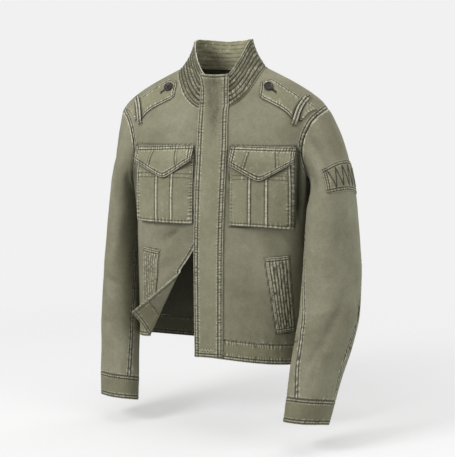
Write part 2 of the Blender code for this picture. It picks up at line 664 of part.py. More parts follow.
# ------------------------------------------------------------------ hand pockets
def make_welt(name, side):
    """A slanting welt, quilted by rows of stitching along its length."""
    top, bottom = (np.array(row) for row in (WELT_LEFT if side > 0 else WELT_RIGHT))
    shares = np.linspace(0, 1, 2 * WELT_RIBS + 1)
    downs, across = np.meshgrid(np.linspace(0, 1, 10), shares, indexing="ij")
    height, inner, outer = ((top[i] + (bottom[i] - top[i]) * downs) for i in range(3))
    plain = front_at(side * (inner + (outer - inner) * across), height + 0.003 * across)
    ribs = 0.0008 * np.abs(np.sin(np.pi * WELT_RIBS * across))
    wall(name, body_skin(plain, 0.0008 + CLOTH + ribs), body_skin(plain, np.full(across.shape, 0.0008)))


# ------------------------------------------------------------------ shoulder straps, loops and buttons
def over_shoulder(side, out, forward):
    """The point of the shoulder's surface over a place in plan."""
    return np.stack([side * out, -forward, height_over(side * out, -forward)], -1)


def make_strap(name, side):
    """A doubled strap caught in the armhole seam, with a pointed end towards the collar."""
    edges = np.array(STRAP_EDGES)
    rows = np.array([0, 0.5, 1, 1.33, 1.67, 2, 2.33, 2.67, 3, 3.5, 4])
    edges = np.column_stack([np.interp(rows, range(len(edges)), edges[:, i]) for i in range(4)])
    across = np.linspace(0, 1, 7)
    out = edges[:, :1] + (edges[:, 2:3] - edges[:, :1]) * across
    forward = edges[:, 1:2] + (edges[:, 3:4] - edges[:, 1:2]) * across
    plain = over_shoulder(side, out, forward)
    wall(name, body_skin(plain, STRAP_LIFT + DOUBLED), body_skin(plain, STRAP_LIFT))


def make_loop(name, side):
    """A narrow loop of even width over the strap, sewn to the shoulder on each side of it."""
    ends = np.array(LOOP_ENDS)
    shares = np.array([0, 0.07, 0.14, 0.21, 0.3, 0.4, 0.5, 0.6, 0.7, 0.8, 0.88, 0.945, 1])
    over = STRAP_LIFT + DOUBLED + 2 * SEAM_GAP
    lift = np.where((shares > 0.15) & (shares < 0.96), over, STRAP_LIFT + SEAM_GAP)
    plan = ends[0] + (ends[1] - ends[0]) * shares[:, None]
    middle = over_shoulder(side, plan[:, 0], plan[:, 1])
    across = unit(np.cross(body_normal(middle), unit(np.gradient(middle, axis=0)))) * LOOP_HALF
    place = np.stack([middle - across, middle, middle + across], 1)
    plain = over_shoulder(side, side * place[..., 0], -place[..., 1])
    lifts = np.tile(lift[:, None], (1, 3))
    wall(name, body_skin(plain, lifts + 0.0015), body_skin(plain, lifts))


def make_button(name, side):
    """A round button with a raised rim, lying on the strap's end."""
    place = over_shoulder(side, np.array(BUTTON_AT[0]), np.array(BUTTON_AT[1]))
    normal = body_normal(place)
    seat = body_skin(place, STRAP_LIFT + DOUBLED + 2 * SEAM_GAP)
    profile = ((0.62, 0.0), (0.92, 0.0008), (1.0, 0.0018), (0.97, 0.0032), (0.86, BUTTON_THICK),
               (0.70, 0.0031), (0.45, 0.0027))
    around = 18
    first = unit(np.cross(normal, np.array([0.0, 1.0, 0.0])))
    second = np.cross(normal, first)
    points = []
    for share, lift in profile:
        for k in range(around):
            turn = 2 * math.pi * k / around
            spoke = first * math.cos(turn) + second * math.sin(turn)
            points.append(seat + normal * lift + spoke * share * BUTTON_RADIUS)
    low, top = len(points), len(points) + 1
    points += [seat, seat + normal * 0.0027]
    faces = []
    rings = len(profile)
    for k in range(around):
        after = (k + 1) % around
        faces.append((low, after, k))
        last = (rings - 1) * around
        faces.append((top, last + k, last + after))
        for r in range(rings - 1):
            faces.append((r * around + k, r * around + after, (r + 1) * around + after, (r + 1) * around + k))
    mesh = bpy.data.meshes.new(name)
    mesh.from_pydata([tuple(p) for p in points], [], faces)
    face_outwards(mesh, np.array(points), faces)
    mesh.shade_smooth()
    mesh.set_sharp_from_angle(angle=math.radians(50))
    mesh.materials.append(material("dark_horn", HORN, 0.35))
    bpy.context.scene.collection.objects.link(bpy.data.objects.new(name, mesh))


# ------------------------------------------------------------------ sleeves and cuffs
def sleeve_sections(side):
    return LEFT_SLEEVE if side > 0 else RIGHT_SLEEVE


def arm_value(side, share, column):
    """A column of the sleeve's table at a share of the way from the first section to the last."""
    rows = np.array(sleeve_sections(side))
    keyed = np.column_stack([np.linspace(0, 1, len(rows)), rows])
    return through(keyed, share, SLEEVE_COLUMNS.index(column) + 1)


def arm_centre(side, share):
    x, y = side * arm_value(side, share, "out"), -arm_value(side, share, "forward")
    return np.stack([x, y, arm_value(side, share, "height")], -1)


def arm_at(side, angle, share):
    """A point of the sleeve below its cap: angle 0 is outside, 90 degrees the front."""
    step = 0.01
    along = unit(arm_centre(side, np.minimum(share + step, 1)) - arm_centre(side, np.maximum(share - step, 0)))
    level = smooth_step(share / 0.15)[..., None]
    along = unit(along * level + np.array([0.0, 0.0, -1.0]) * (1 - level))
    ahead = np.broadcast_to(np.array([0.0, -1.0, 0.0]), along.shape)
    ahead = unit(ahead - along * np.sum(ahead * along, -1, keepdims=True))
    outward = np.cross(ahead, along) * side
    outward = outward * np.sign(outward[..., :1] * side)
    turn = np.radians(arm_value(side, share, "turn"))
    long, short = arm_value(side, share, "long"), arm_value(side, share, "short")
    radius = long * short / np.hypot(long * np.cos(angle - turn), short * np.sin(angle - turn))
    spoke = outward * np.cos(angle)[..., None] + ahead * np.sin(angle)[..., None]
    tilt = CUFF_TILT * np.cos(angle) * smooth_step((share - 0.4) / 0.45)
    return arm_centre(side, share) + spoke * radius[..., None] + np.array([0.0, 0.0, 1.0]) * tilt[..., None]


def cap_at(side, angle, share):
    """A point of the sleeve's cap, between the armhole (share 0) and the upper arm (share 1)."""
    root = armhole(angle, side)
    root = root + np.array([side, 0.0, 0.0]) * 0.0013
    end = arm_at(side, angle, np.zeros_like(angle))
    below = arm_at(side, angle, np.full_like(angle, 0.03))
    reach = np.linalg.norm(end - root, axis=-1, keepdims=True)
    level = (1 + np.cos(angle[..., None])) / 2
    top, middle, bottom = np.array(CAP_LEAVES[side])
    leave = np.where(level > 0.5, middle + (top - middle) * (2 * level - 1), bottom + (middle - bottom) * 2 * level)
    leave = np.stack([side * leave[..., 0], -0.05 * np.sin(angle), leave[..., 1]], -1)
    leave = unit(leave) * reach
    arrive = unit(below - end) * reach
    t = share[..., None]
    return (
        root * (1 + 2 * t) * (1 - t) ** 2
        + end * t * t * (3 - 2 * t)
        + leave * t * (1 - t) ** 2
        - arrive * t * t * (1 - t)
    )


CAP_SHARE = 0.36          # of the whole sleeve's length, down to the first section
CUFF_FROM = 6 / 7         # the cuff's seam, as a share of the way down the table


def sleeve_at(side, angle, share):
    """The whole sleeve's surface: share 0 at the armhole, 1 at the end of the cuff."""
    angle, share = np.broadcast_arrays(np.asarray(angle, float), np.asarray(share, float))
    cap = cap_at(side, angle, np.clip(share / CAP_SHARE, 0, 1))
    arm = arm_at(side, angle, np.clip((share - CAP_SHARE) / (1 - CAP_SHARE), 0, 1))
    return np.where((share < CAP_SHARE)[..., None], cap, arm)


def sleeve_normal(side, angle, share):
    step = 0.006
    around = sleeve_at(side, angle + step, share) - sleeve_at(side, angle - step, share)
    down = sleeve_at(side, angle, np.minimum(share + step, 1)) - sleeve_at(side, angle, np.maximum(share - step, 0))
    return unit(np.cross(around, down)) * side


def sleeve_points(side, angle, share, out):
    return sleeve_at(side, angle, share) + sleeve_normal(side, angle, share) * np.asarray(out)[..., None]


CUFF_SEAM = CAP_SHARE + (1 - CAP_SHARE) * CUFF_FROM


def make_sleeve(label, side):
    rows = np.concatenate([
        np.linspace(0, CAP_SHARE, CAP_ROWS, endpoint=False),
        np.linspace(CAP_SHARE, CUFF_SEAM - 0.00025, ARM_ROWS),
    ])
    front = np.radians(through(SLEEVE_SEAMS[side], rows, 1))
    back = np.radians(through(SLEEVE_SEAMS[side], rows, 2))
    gap = SEAM_GAP / 2 / 0.055
    for name, first, last, columns in (
        ("sleeve_upper_", back + gap, front - gap, UPPER_COLUMNS),
        ("sleeve_under_", front + gap, back + 2 * math.pi - gap, UNDER_COLUMNS),
    ):
        shares = np.linspace(0, 1, columns + 1)
        angles = first[:, None] + (last - first)[:, None] * shares
        along = np.tile(rows[:, None], (1, columns + 1))
        zero = np.zeros(angles.shape)
        wall(name + label, sleeve_points(side, angles, along, zero), sleeve_points(side, angles, along, zero - CLOTH))
    rows = np.linspace(CUFF_SEAM + 0.00025, 1, 4)
    angles, along = np.meshgrid(np.linspace(0, 2 * math.pi, 20, endpoint=False), rows)
    out = np.full(angles.shape, 0.0004)
    wall("cuff_" + label, sleeve_points(side, angles, along, out),
         sleeve_points(side, angles, along, out - DOUBLED), ring=True)


def make_patch():
    front, back = np.array(PATCH_EDGES)
    down, across = np.meshgrid(np.linspace(0, 1, 6), np.linspace(0, 1, 13), indexing="ij")
    edges = front + (back - front) * across[..., None]
    grid_angle = np.radians(edges[..., 0])
    grid_row = edges[..., 1] + (edges[..., 2] - edges[..., 1]) * down
    out = np.full(grid_angle.shape, 0.0008)
    wall("sleeve_patch", sleeve_points(1, grid_angle, grid_row, out + 0.0012),
         sleeve_points(1, grid_angle, grid_row, out))


def main():
    for old in list(bpy.data.objects):
        bpy.data.objects.remove(old)
    make_fronts()
    make_back()
    make_hem_bands()
    make_collar()
    make_fly()
    for label, side in (("left", 1), ("right", -1)):
        make_chest_pocket("chest_pocket_" + label, side)
        make_flap("pocket_flap_" + label, side)
        make_welt("hand_pocket_welt_" + label, side)
        make_strap("shoulder_strap_" + label, side)
        make_loop("strap_loop_" + label, side)
        make_button("strap_button_" + label, side)
        make_sleeve(label, side)
    make_patch()


main()
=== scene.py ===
"""Garment-washed cotton twill field jacket, filled out as if worn and dressed piece by piece.

Metres, +Z up, the front faces -Y and +X is the wearer's left. Each piece of cloth is a thin shell on its
solid's own form, with its creases, the pucker of its seams and its rows of stitching.
"""

import math
from types import SimpleNamespace

import bpy
import numpy as np
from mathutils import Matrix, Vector


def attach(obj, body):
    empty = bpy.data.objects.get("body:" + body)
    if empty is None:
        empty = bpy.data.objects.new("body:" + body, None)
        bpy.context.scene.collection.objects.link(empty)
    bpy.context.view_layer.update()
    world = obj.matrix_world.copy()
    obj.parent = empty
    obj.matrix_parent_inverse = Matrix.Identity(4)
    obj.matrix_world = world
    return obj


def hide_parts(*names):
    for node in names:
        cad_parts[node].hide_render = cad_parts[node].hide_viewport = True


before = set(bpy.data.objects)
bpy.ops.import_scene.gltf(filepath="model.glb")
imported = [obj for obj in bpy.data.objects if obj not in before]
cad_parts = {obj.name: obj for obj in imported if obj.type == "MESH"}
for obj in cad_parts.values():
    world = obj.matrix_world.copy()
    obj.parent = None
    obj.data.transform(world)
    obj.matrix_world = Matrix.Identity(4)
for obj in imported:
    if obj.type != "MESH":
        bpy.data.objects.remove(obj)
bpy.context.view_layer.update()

# ------------------------------------------------------------------ the two fronts
# Each front is one panel from the centre to the side seam, of midweight cotton twill 1.8 mm thick with its
# seam turnings, felled with two rows of stitching, then garment-washed so that the seams pucker and rub pale.
CLOTH = 0.0018
DOUBLED = 0.0024
SEAM_GAP = 0.0003
CENTRE_GAP = 0.0006
NECK_HALF_WIDTH = 0.096
NECK_FRONT = 0.086
NECK_BACK = 0.054
HEM_BAND = 0.046
# height, half width, depth to the front, depth to the back, squareness
BODY_SECTIONS = (
    (-0.670, 0.1975, 0.122, 0.118, 2.3),
    (-0.600, 0.1985, 0.124, 0.120, 2.3),
    (-0.500, 0.1995, 0.127, 0.121, 2.3),
    (-0.380, 0.201, 0.130, 0.123, 2.3),
    (-0.270, 0.205, 0.127, 0.125, 2.3),
    (-0.190, 0.223, 0.117, 0.122, 2.2),
    (-0.130, 0.239, 0.104, 0.112, 2.1),
    (-0.100, 0.242, 0.092, 0.101, 2.0),
    (-0.087, 0.2375, 0.086, 0.095, 2.0),
    (-0.072, 0.2265, 0.077, 0.086, 2.0),
    (-0.0545, 0.2060, 0.067, 0.077, 2.0),
    (-0.030, 0.167, 0.055, 0.067, 2.0),
    (-0.008, 0.124, 0.044, 0.058, 2.0),
    (0.006, 0.096, 0.037, 0.052, 2.0),
    (0.022, 0.070, 0.030, 0.044, 2.0),
)
BODY_COLUMNS = ("height", "half_width", "front", "back", "squareness")
# angle from the centre front (degrees), height of the hem's lower edge
HEM_LEFT = ((0, -0.634), (45, -0.648), (90, -0.656), (135, -0.655), (180, -0.650))
HEM_RIGHT = ((0, -0.574), (30, -0.589), (48, -0.602), (90, -0.616), (135, -0.636), (180, -0.650))
ARMHOLE_CENTRE = -0.1725
ARMHOLE_HALF_HEIGHT = 0.0855
ARMHOLE_FRONT = 0.066
ARMHOLE_BACK = 0.072
ARMPIT = ARMHOLE_CENTRE - ARMHOLE_HALF_HEIGHT
SWING_TOP = -0.290
SWING_BEND = 1.85
TURN_APEX = (-0.066, -0.434)
TURN_FOOT = (-0.153, -0.596)
TURN_CORNER_X = -0.067
TURN_ANGLE = math.radians(132)
TURN_RADIUS = (0.0025, 0.0075)
TURN_REACHED = 0.12
# Half of a side seam's gap and of the centre's, and how far a panel ends from the shoulder ridge, as angles.
SEAM_ANGLE = SEAM_GAP / 2 / 0.13
CENTRE_ANGLE = CENTRE_GAP / 2 / 0.2
RIDGE_ANGLE = 0.002
RIGHT_OF_CENTRE = -0.001
# The large folds of the solids: x and height at each end, reach across, depth, side.
BODY_FOLDS = (
    (-0.040, -0.345, -0.150, -0.395, 0.016, 0.0030, "front"),
    (-0.060, -0.395, -0.170, -0.455, 0.014, -0.0025, "front"),
    (0.060, -0.350, 0.120, -0.392, 0.018, 0.0022, "front"),
    (0.165, -0.235, 0.110, -0.130, 0.015, 0.0028, "front"),
    (-0.165, -0.235, -0.110, -0.130, 0.015, 0.0028, "front"),
    (0.150, -0.260, 0.060, -0.200, 0.020, 0.0035, "back"),
    (-0.150, -0.260, -0.060, -0.200, 0.020, 0.0035, "back"),
    (0.120, -0.470, -0.020, -0.520, 0.022, 0.0035, "back"),
    (-0.130, -0.430, 0.010, -0.475, 0.022, 0.0030, "back"),
)
# Lesser creases laid over them, a ridge where the depth is positive: x and height at each end, bow, reach
# and depth.
FRONT_CREASES = (
    (0.052, -0.100, 0.078, -0.150, 0.004, 0.009, 0.0011),
    (0.090, -0.098, 0.112, -0.152, 0.006, 0.012, -0.0013),
    (-0.060, -0.098, -0.072, -0.155, -0.004, 0.010, 0.0014),
    (-0.096, -0.100, -0.102, -0.156, 0.003, 0.011, -0.0012),
    (-0.034, -0.345, -0.118, -0.425, 0.010, 0.012, 0.0024),
    (-0.060, -0.350, -0.100, -0.372, 0.004, 0.010, -0.0018),
    (-0.086, -0.352, -0.160, -0.372, 0.005, 0.009, 0.0013),
    (-0.055, -0.410, -0.128, -0.500, 0.006, 0.010, 0.0017),
    (-0.090, -0.420, -0.112, -0.520, 0.004, 0.008, -0.0012),
    (0.052, -0.352, 0.100, -0.430, -0.010, 0.013, 0.0016),
    (0.110, -0.356, 0.086, -0.560, 0.012, 0.016, -0.0010),
    (0.060, -0.420, 0.048, -0.575, 0.006, 0.014, 0.0012),
    (0.150, -0.345, 0.190, -0.420, 0.006, 0.010, 0.0018),
    (0.100, -0.560, 0.140, -0.598, 0.004, 0.009, 0.0010),
    (0.188, -0.270, 0.196, -0.370, 0.005, 0.008, -0.0016),
    (-0.188, -0.270, -0.196, -0.370, -0.005, 0.008, -0.0016),
    (0.205, -0.200, 0.190, -0.300, 0.004, 0.007, 0.0018),
    (-0.205, -0.200, -0.190, -0.300, -0.004, 0.007, 0.0018),
    (0.190, -0.170, 0.187, -0.345, 0.002, 0.0040, -0.0030),
    (0.199, -0.165, 0.194, -0.340, 0.003, 0.0036, 0.0028),
    (0.207, -0.180, 0.200, -0.335, 0.002, 0.0034, -0.0030),
    (-0.192, -0.170, -0.188, -0.345, -0.002, 0.0040, -0.0028),
    (-0.200, -0.165, -0.195, -0.340, -0.003, 0.0036, 0.0026),
)
# Rows of stitching from the edge, depth of the pucker, and 1 where the edge is free and worn pale.
DOUBLE = ((0.0017, 0.0078), 0.00050, 0)
PLAIN = ((), 0.00020, 0)
TURNED_EDGE = ((0.0070,), 0.00045, 1)
# The grid lines kept beside a row of stitching, how far a seam sinks the cloth, how pale a plain panel rubs on
# its rises, and how far a piece sewn on stands off the cloth below.
ROW_MARKS = (-0.0010, -0.0005, 0.0, 0.0005, 0.0010)
SEAM_REACH = 0.0007
QUIET_WEAR = 0.15
SEWN_LIFT = 0.0009


def smooth_step(share):
    share = np.clip(share, 0.0, 1.0)
    return share * share * (3 - 2 * share)


def bell(distance, reach, power=2):
    """1 at no distance, fading to 0 a little beyond the reach."""
    return np.exp(-((distance / reach) ** power))


def unit(vectors):
    return vectors / np.maximum(np.linalg.norm(vectors, axis=-1, keepdims=True), 1e-12)


def hermite(t, start, end, leaving, arriving):
    """The cubic from start to end, t going from 0 to 1, with these slopes at its ends."""
    return (
        start * (1 + 2 * t) * (1 - t) ** 2
        + end * t * t * (3 - 2 * t)
        + leaving * t * (1 - t) ** 2
        - arriving * t * t * (1 - t)
    )


def through(rows, at, column=1):
    """A smooth curve through a table's rows: the value of a column where the first column is `at`."""
    table = np.array(rows, float)
    knots, values = table[:, 0], table[:, column]
    steps, rises = np.diff(knots), np.diff(values)
    slopes = rises / steps
    total = slopes[1:] + slopes[:-1]
    total = np.where(total == 0, 1, total)
    inner = np.where(slopes[1:] * slopes[:-1] > 0, 2 * slopes[1:] * slopes[:-1] / total, 0.0)
    tangents = np.concatenate([slopes[:1], inner, slopes[-1:]])
    at = np.clip(np.asarray(at, float), knots[0], knots[-1])
    i = np.clip(np.searchsorted(knots, at, side="right") - 1, 0, len(knots) - 2)
    t = (at - knots[i]) / steps[i]
    return hermite(t, values[i], values[i + 1], tangents[i] * steps[i], tangents[i + 1] * steps[i])


def section(height):
    return {name: through(BODY_SECTIONS, height, i) for i, name in enumerate(BODY_COLUMNS) if i}


def body_at(angle, height):
    cut = section(height)
    power = 2 / cut["squareness"]
    side, ahead = np.sin(angle), np.cos(angle)
    depth = np.where(ahead > 0, cut["front"], cut["back"])
    x = cut["half_width"] * np.sign(side) * np.abs(side) ** power
    y = -depth * np.sign(ahead) * np.abs(ahead) ** power
    return np.stack(np.broadcast_arrays(x, y, height), -1)


def angle_of(x, height):
    cut = section(height)
    share = np.clip(np.abs(x) / cut["half_width"], 0, 1)
    return np.sign(x) * np.arcsin(share ** (cut["squareness"] / 2))


def fullness(x, y, height):
    cut = section(height)
    depth = np.where(y < 0, cut["front"], cut["back"])
    n = cut["squareness"]
    return (np.abs(x) / cut["half_width"]) ** n + (np.abs(y) / depth) ** n


def height_over(x, y):
    low, high = np.full(np.shape(x), -0.25), np.full(np.shape(x), 0.02)
    for _ in range(40):
        middle = (low + high) / 2
        inside = fullness(x, y, middle) < 1
        low, high = np.where(inside, middle, low), np.where(inside, high, middle)
    return (low + high) / 2


def body_normal(points):
    x, y, z = points[..., 0], points[..., 1], points[..., 2]
    step = 0.0005
    gradient = [
        fullness(x + step, y, z) - fullness(x - step, y, z),
        fullness(x, y + step, z) - fullness(x, y - step, z),
        fullness(x, y, z + step) - fullness(x, y, z - step),
    ]
    return unit(np.stack(gradient, -1))


def fold_height(points):
    x, y, z = points[..., 0], points[..., 1], points[..., 2]
    total = np.zeros(x.shape)
    for x0, z0, x1, z1, reach, depth, side in BODY_FOLDS:
        run = np.array([x1 - x0, z1 - z0])
        share = ((x - x0) * run[0] + (z - z0) * run[1]) / (run @ run)
        across = ((x - x0) * run[1] - (z - z0) * run[0]) / math.hypot(*run)
        facing = y < 0 if side == "front" else y > 0
        fade = np.sin(np.pi * np.clip(share, 0, 1)) ** 2
        total -= depth * fade * bell(across, reach) * facing
    return total


def body_skin(points, out=0.0):
    return points + body_normal(points) * np.asarray(fold_height(points) + out)[..., None]


def front_at(x, height):
    return body_at(angle_of(x, height), height)


def neckline(angle):
    ahead = np.cos(angle)
    x = NECK_HALF_WIDTH * np.sin(angle)
    y = -np.where(ahead > 0, NECK_FRONT, NECK_BACK) * ahead
    return np.stack([x, y, height_over(x, y)], -1)


def armhole(angle, side):
    ahead = np.sin(angle)
    height = ARMHOLE_CENTRE + ARMHOLE_HALF_HEIGHT * np.cos(angle)
    y = -np.where(ahead > 0, ARMHOLE_FRONT, ARMHOLE_BACK) * ahead
    cut = section(height)
    depth = np.where(y < 0, cut["front"], cut["back"])
    n = cut["squareness"]
    x = side * cut["half_width"] * (1 - (np.abs(y) / depth) ** n) ** (1 / n)
    return np.stack([x, y, height], -1)


def surface_angle(points):
    cut = section(points[..., 2])
    share = np.clip(np.abs(points[..., 0]) / cut["half_width"], 0, 1) ** (cut["squareness"] / 2)
    inner = np.arcsin(share)
    return np.where(points[..., 1] > 0, np.pi - inner, inner)


def hem_height(angle):
    degrees = np.degrees(angle)
    return np.where(degrees >= 0, through(HEM_LEFT, np.abs(degrees)), through(HEM_RIGHT, np.abs(degrees)))


def height_below_arm(angle, share):
    low = hem_height(angle) + HEM_BAND + SEAM_GAP
    return low + (ARMPIT - low) * share


def right_front_edge(height):
    swung = np.clip((SWING_TOP - height) / (SWING_TOP - TURN_APEX[1]), 0, 1) ** SWING_BEND
    below = np.clip((TURN_APEX[1] - height) / (TURN_APEX[1] - TURN_FOOT[1]), 0, 1)
    return -CENTRE_GAP / 2 + (TURN_APEX[0] + CENTRE_GAP / 2) * swung + (TURN_CORNER_X - TURN_APEX[0]) * below


def turned(x, height, out):
    """A place on the right front, with its lower corner rolled outwards about a slanting fold."""
    apex, foot = np.array(TURN_APEX), np.array(TURN_FOOT)
    along = unit(foot - apex)
    across = np.array([-along[1], along[0]])
    from_apex = np.stack([x, height], -1) - apex
    travel = from_apex @ along
    beyond = np.maximum(from_apex @ across, 0)
    base = np.stack([x, height], -1) - across * beyond[..., None]
    share = np.clip(travel / np.linalg.norm(foot - apex), 0, 1.3)
    radius = TURN_RADIUS[0] + (TURN_RADIUS[1] - TURN_RADIUS[0]) * share
    most = TURN_ANGLE * smooth_step(share / TURN_REACHED)
    turn = np.minimum(beyond / radius, most)
    straight = np.maximum(beyond - radius * most, 0)
    shift = radius * np.sin(turn) + straight * np.cos(turn)
    lift = radius * (1 - np.cos(turn)) + straight * np.sin(turn)
    plain = front_at(base[..., 0], base[..., 1])
    root, normal = body_skin(plain), body_normal(plain)
    step = across * 0.002
    ahead = front_at(base[..., 0] + step[0], base[..., 1] + step[1])
    tangent = unit(ahead - plain)
    facing = normal * np.cos(turn)[..., None] - tangent * np.sin(turn)[..., None]
    return root + tangent * shift[..., None] + normal * lift[..., None] + facing * np.asarray(out)[..., None]


def right_points(angles, heights, out):
    plain = body_at(angles, heights)
    out = np.broadcast_to(out, angles.shape)
    rolls = (heights < TURN_APEX[1] + 0.02) & (plain[..., 0] > TURN_FOOT[0] - 0.04)
    return np.where(rolls[..., None], turned(plain[..., 0], heights, out), body_skin(plain, out))


def scattered(phase):
    """A value from -1 to 1 that seems random and is always the same for the same phase."""
    return 2 * np.modf(np.abs(np.sin(phase)) * 43758.5453)[0] - 1


def drift(x, seed):
    """Smooth noise along a line, from -1 to 1, one swing for each unit."""
    x = np.asarray(x, float) + seed * 17.31
    i = np.floor(x)
    t = smooth_step(x - i)

    def chance(k):
        return scattered(k * 12.9898 + seed * 78.233)

    return chance(i) * (1 - t) + chance(i + 1) * t


def mottle(x, y, seed, octaves=3):
    """Smooth noise over a surface, from about -1 to 1, one swing for each unit."""
    total, weight, size = 0.0, 0.0, 1.0
    for k in range(octaves):
        a, b = np.asarray(x) / size + 9.1 * seed + k, np.asarray(y) / size + 5.7 * seed - k
        i, j = np.floor(a), np.floor(b)
        s, t = smooth_step(a - i), smooth_step(b - j)

        def chance(p, q):
            return scattered(p * 127.1 + q * 311.7 + seed * 74.7)

        low = chance(i, j) * (1 - s) + chance(i + 1, j) * s
        high = chance(i, j + 1) * (1 - s) + chance(i + 1, j + 1) * s
        total = total + size * (low * (1 - t) + high * t)
        weight, size = weight + size, size / 2
    return total / weight


def lumps(x, y, *layers):
    """Unevenness of a surface in layers, each with its height, its length across and along, and its seed."""
    return sum(height * mottle(x / across, y / along, seed) for height, across, along, seed in layers)


def ripples(along, wave, seed):
    """Puckers along a seam: crests about `wave` apart, uneven in spacing and depth."""
    phase = along / wave + 0.55 * drift(along / (2.1 * wave), seed) + 0.25 * drift(along / wave, seed + 3)
    strength = 0.62 + 0.38 * drift(along / (2.7 * wave), seed + 7)
    return np.cos(2 * np.pi * phase) * strength


def creased(s, t, table):
    """Height of soft creases at places (s, t): each a bent ridge or trough that fades at both ends."""
    total = np.zeros(np.broadcast(s, t).shape)
    for s0, t0, s1, t1, bow, reach, depth in table:
        run = np.array([s1 - s0, t1 - t0])
        long = math.hypot(*run)
        share = ((s - s0) * run[0] + (t - t0) * run[1]) / (long * long)
        across = ((s - s0) * run[1] - (t - t0) * run[0]) / long - bow * 4 * share * (1 - share)
        width = reach * (0.7 + 0.5 * np.clip(share, 0, 1))
        fade = np.sin(np.pi * np.clip(share, 0, 1)) ** 1.4
        beyond = 0.42 * bell(across - 1.9 * width, 1.3 * width)
        crest = np.exp(-np.abs(across / width) ** 1.6) - beyond
        total += depth * fade * crest
    return total


def marks(rows):
    """Distances from an edge that the grid keeps: its turned lip, and close steps over each row."""
    found = [0.0, 0.0005]
    for row in rows:
        found += [row + d for d in ROW_MARKS]
    found += [(a + b) / 2 for a, b in zip(rows, rows[1:])]
    found = sorted(max(0.0, d) for d in found)
    kept = [0.0]
    for d in found:
        if d - kept[-1] > 0.0002:
            kept.append(d)
    return kept + [kept[-1] + 0.0012]


def spaced(lengths, start, end, step):
    """Distances along lines of these lengths: `start` and `end` keep their own, with even steps between."""
    lengths = np.atleast_1d(lengths)
    steps = max(2, int(round((lengths.mean() - start[-1] - end[-1]) / step)))
    between = np.linspace(0, 1, steps + 1)[1:-1]
    stop = lengths - end[-1]
    middle = start[-1] + (stop - start[-1])[:, None] * between
    first, last = np.tile(start, (len(lengths), 1)), lengths[:, None] - np.array(end[::-1])
    return np.concatenate([first, middle, last], 1)


def run_along(points, axis):
    steps = np.linalg.norm(np.diff(points, axis=axis), axis=-1)
    zero = np.zeros_like(np.take(steps, [0], axis))
    return np.concatenate([zero, np.cumsum(steps, axis=axis)], axis)


def near_seam(d, along, rows, pucker, lip, seed):
    """Height, seam darkness and wear of cloth at distance d from an edge, sunk in its seam or free."""
    height = -0.0006 * bell(d, SEAM_REACH)
    seam_dark_and_shade = (1 - lip) * 0.60 * bell(d, SEAM_REACH)
    last = max(rows, default=0.003)
    waves = ripples(along + 0.15 * d, 0.0060, seed) + 0.5 * ripples(along - 0.2 * d, 0.0037, seed + 5)
    held = np.ones(np.shape(d))
    for row in rows:
        held = held - 0.72 * bell(d - row, 0.0013)
    envelope = held * bell(d, last + 0.0042, 4)
    height = height + pucker * envelope * waves
    wear_shade = 0.75 * envelope * waves * min(1.0, pucker / 0.0004)
    for k, row in enumerate(rows):
        pull = 0.86 + 0.14 * drift(along / 0.0035, seed + k)
        line = bell(d - row, 0.00150 if k or lip else 0.00115)
        height = height - 0.00055 * line * pull
        seam_dark_and_shade = np.maximum(seam_dark_and_shade, line * pull)
        wear_shade = wear_shade + 0.40 * bell(np.abs(d - row) - 0.0026, 0.0010)
    if len(rows) > 1:
        puffed = bell(d - (rows[0] + rows[1]) / 2, 0.0019)
        height, wear_shade = height + 0.00040 * puffed, wear_shade + puffed * (0.68 + 0.40 * waves)
        ticks = puffed * np.clip(-waves - 0.20, 0, 1)
        seam_dark_and_shade = np.maximum(seam_dark_and_shade, 0.95 * ticks)
    elif not rows:
        wear_shade = wear_shade + 0.3 * bell(d - 0.0015, 0.0009)
    edge = lip * bell(d - 0.0002, 0.0012)
    beyond = bell(d - last - 0.0028, 0.0011) * (len(rows) > 0)
    return height, seam_dark_and_shade * (1 - 0.7 * edge), wear_shade + 1.4 * edge + 0.35 * beyond


def placed(name, data):
    made = bpy.data.objects.new(name, data)
    bpy.context.scene.collection.objects.link(made)
    return made


def area_of(grid):
    """The area of a surface given as a grid of points, from the diagonals of its faces."""
    rising, falling = grid[1:, 1:] - grid[:-1, :-1], grid[1:, :-1] - grid[:-1, 1:]
    return np.linalg.norm(np.cross(rising, falling), axis=-1).sum() / 2


def normals_of(grid, outward):
    """The grid's normals, on the side that these directions show."""
    normal = unit(np.cross(np.gradient(grid, axis=1), np.gradient(grid, axis=0)))
    return -normal if np.sum(normal * outward) < 0 else normal


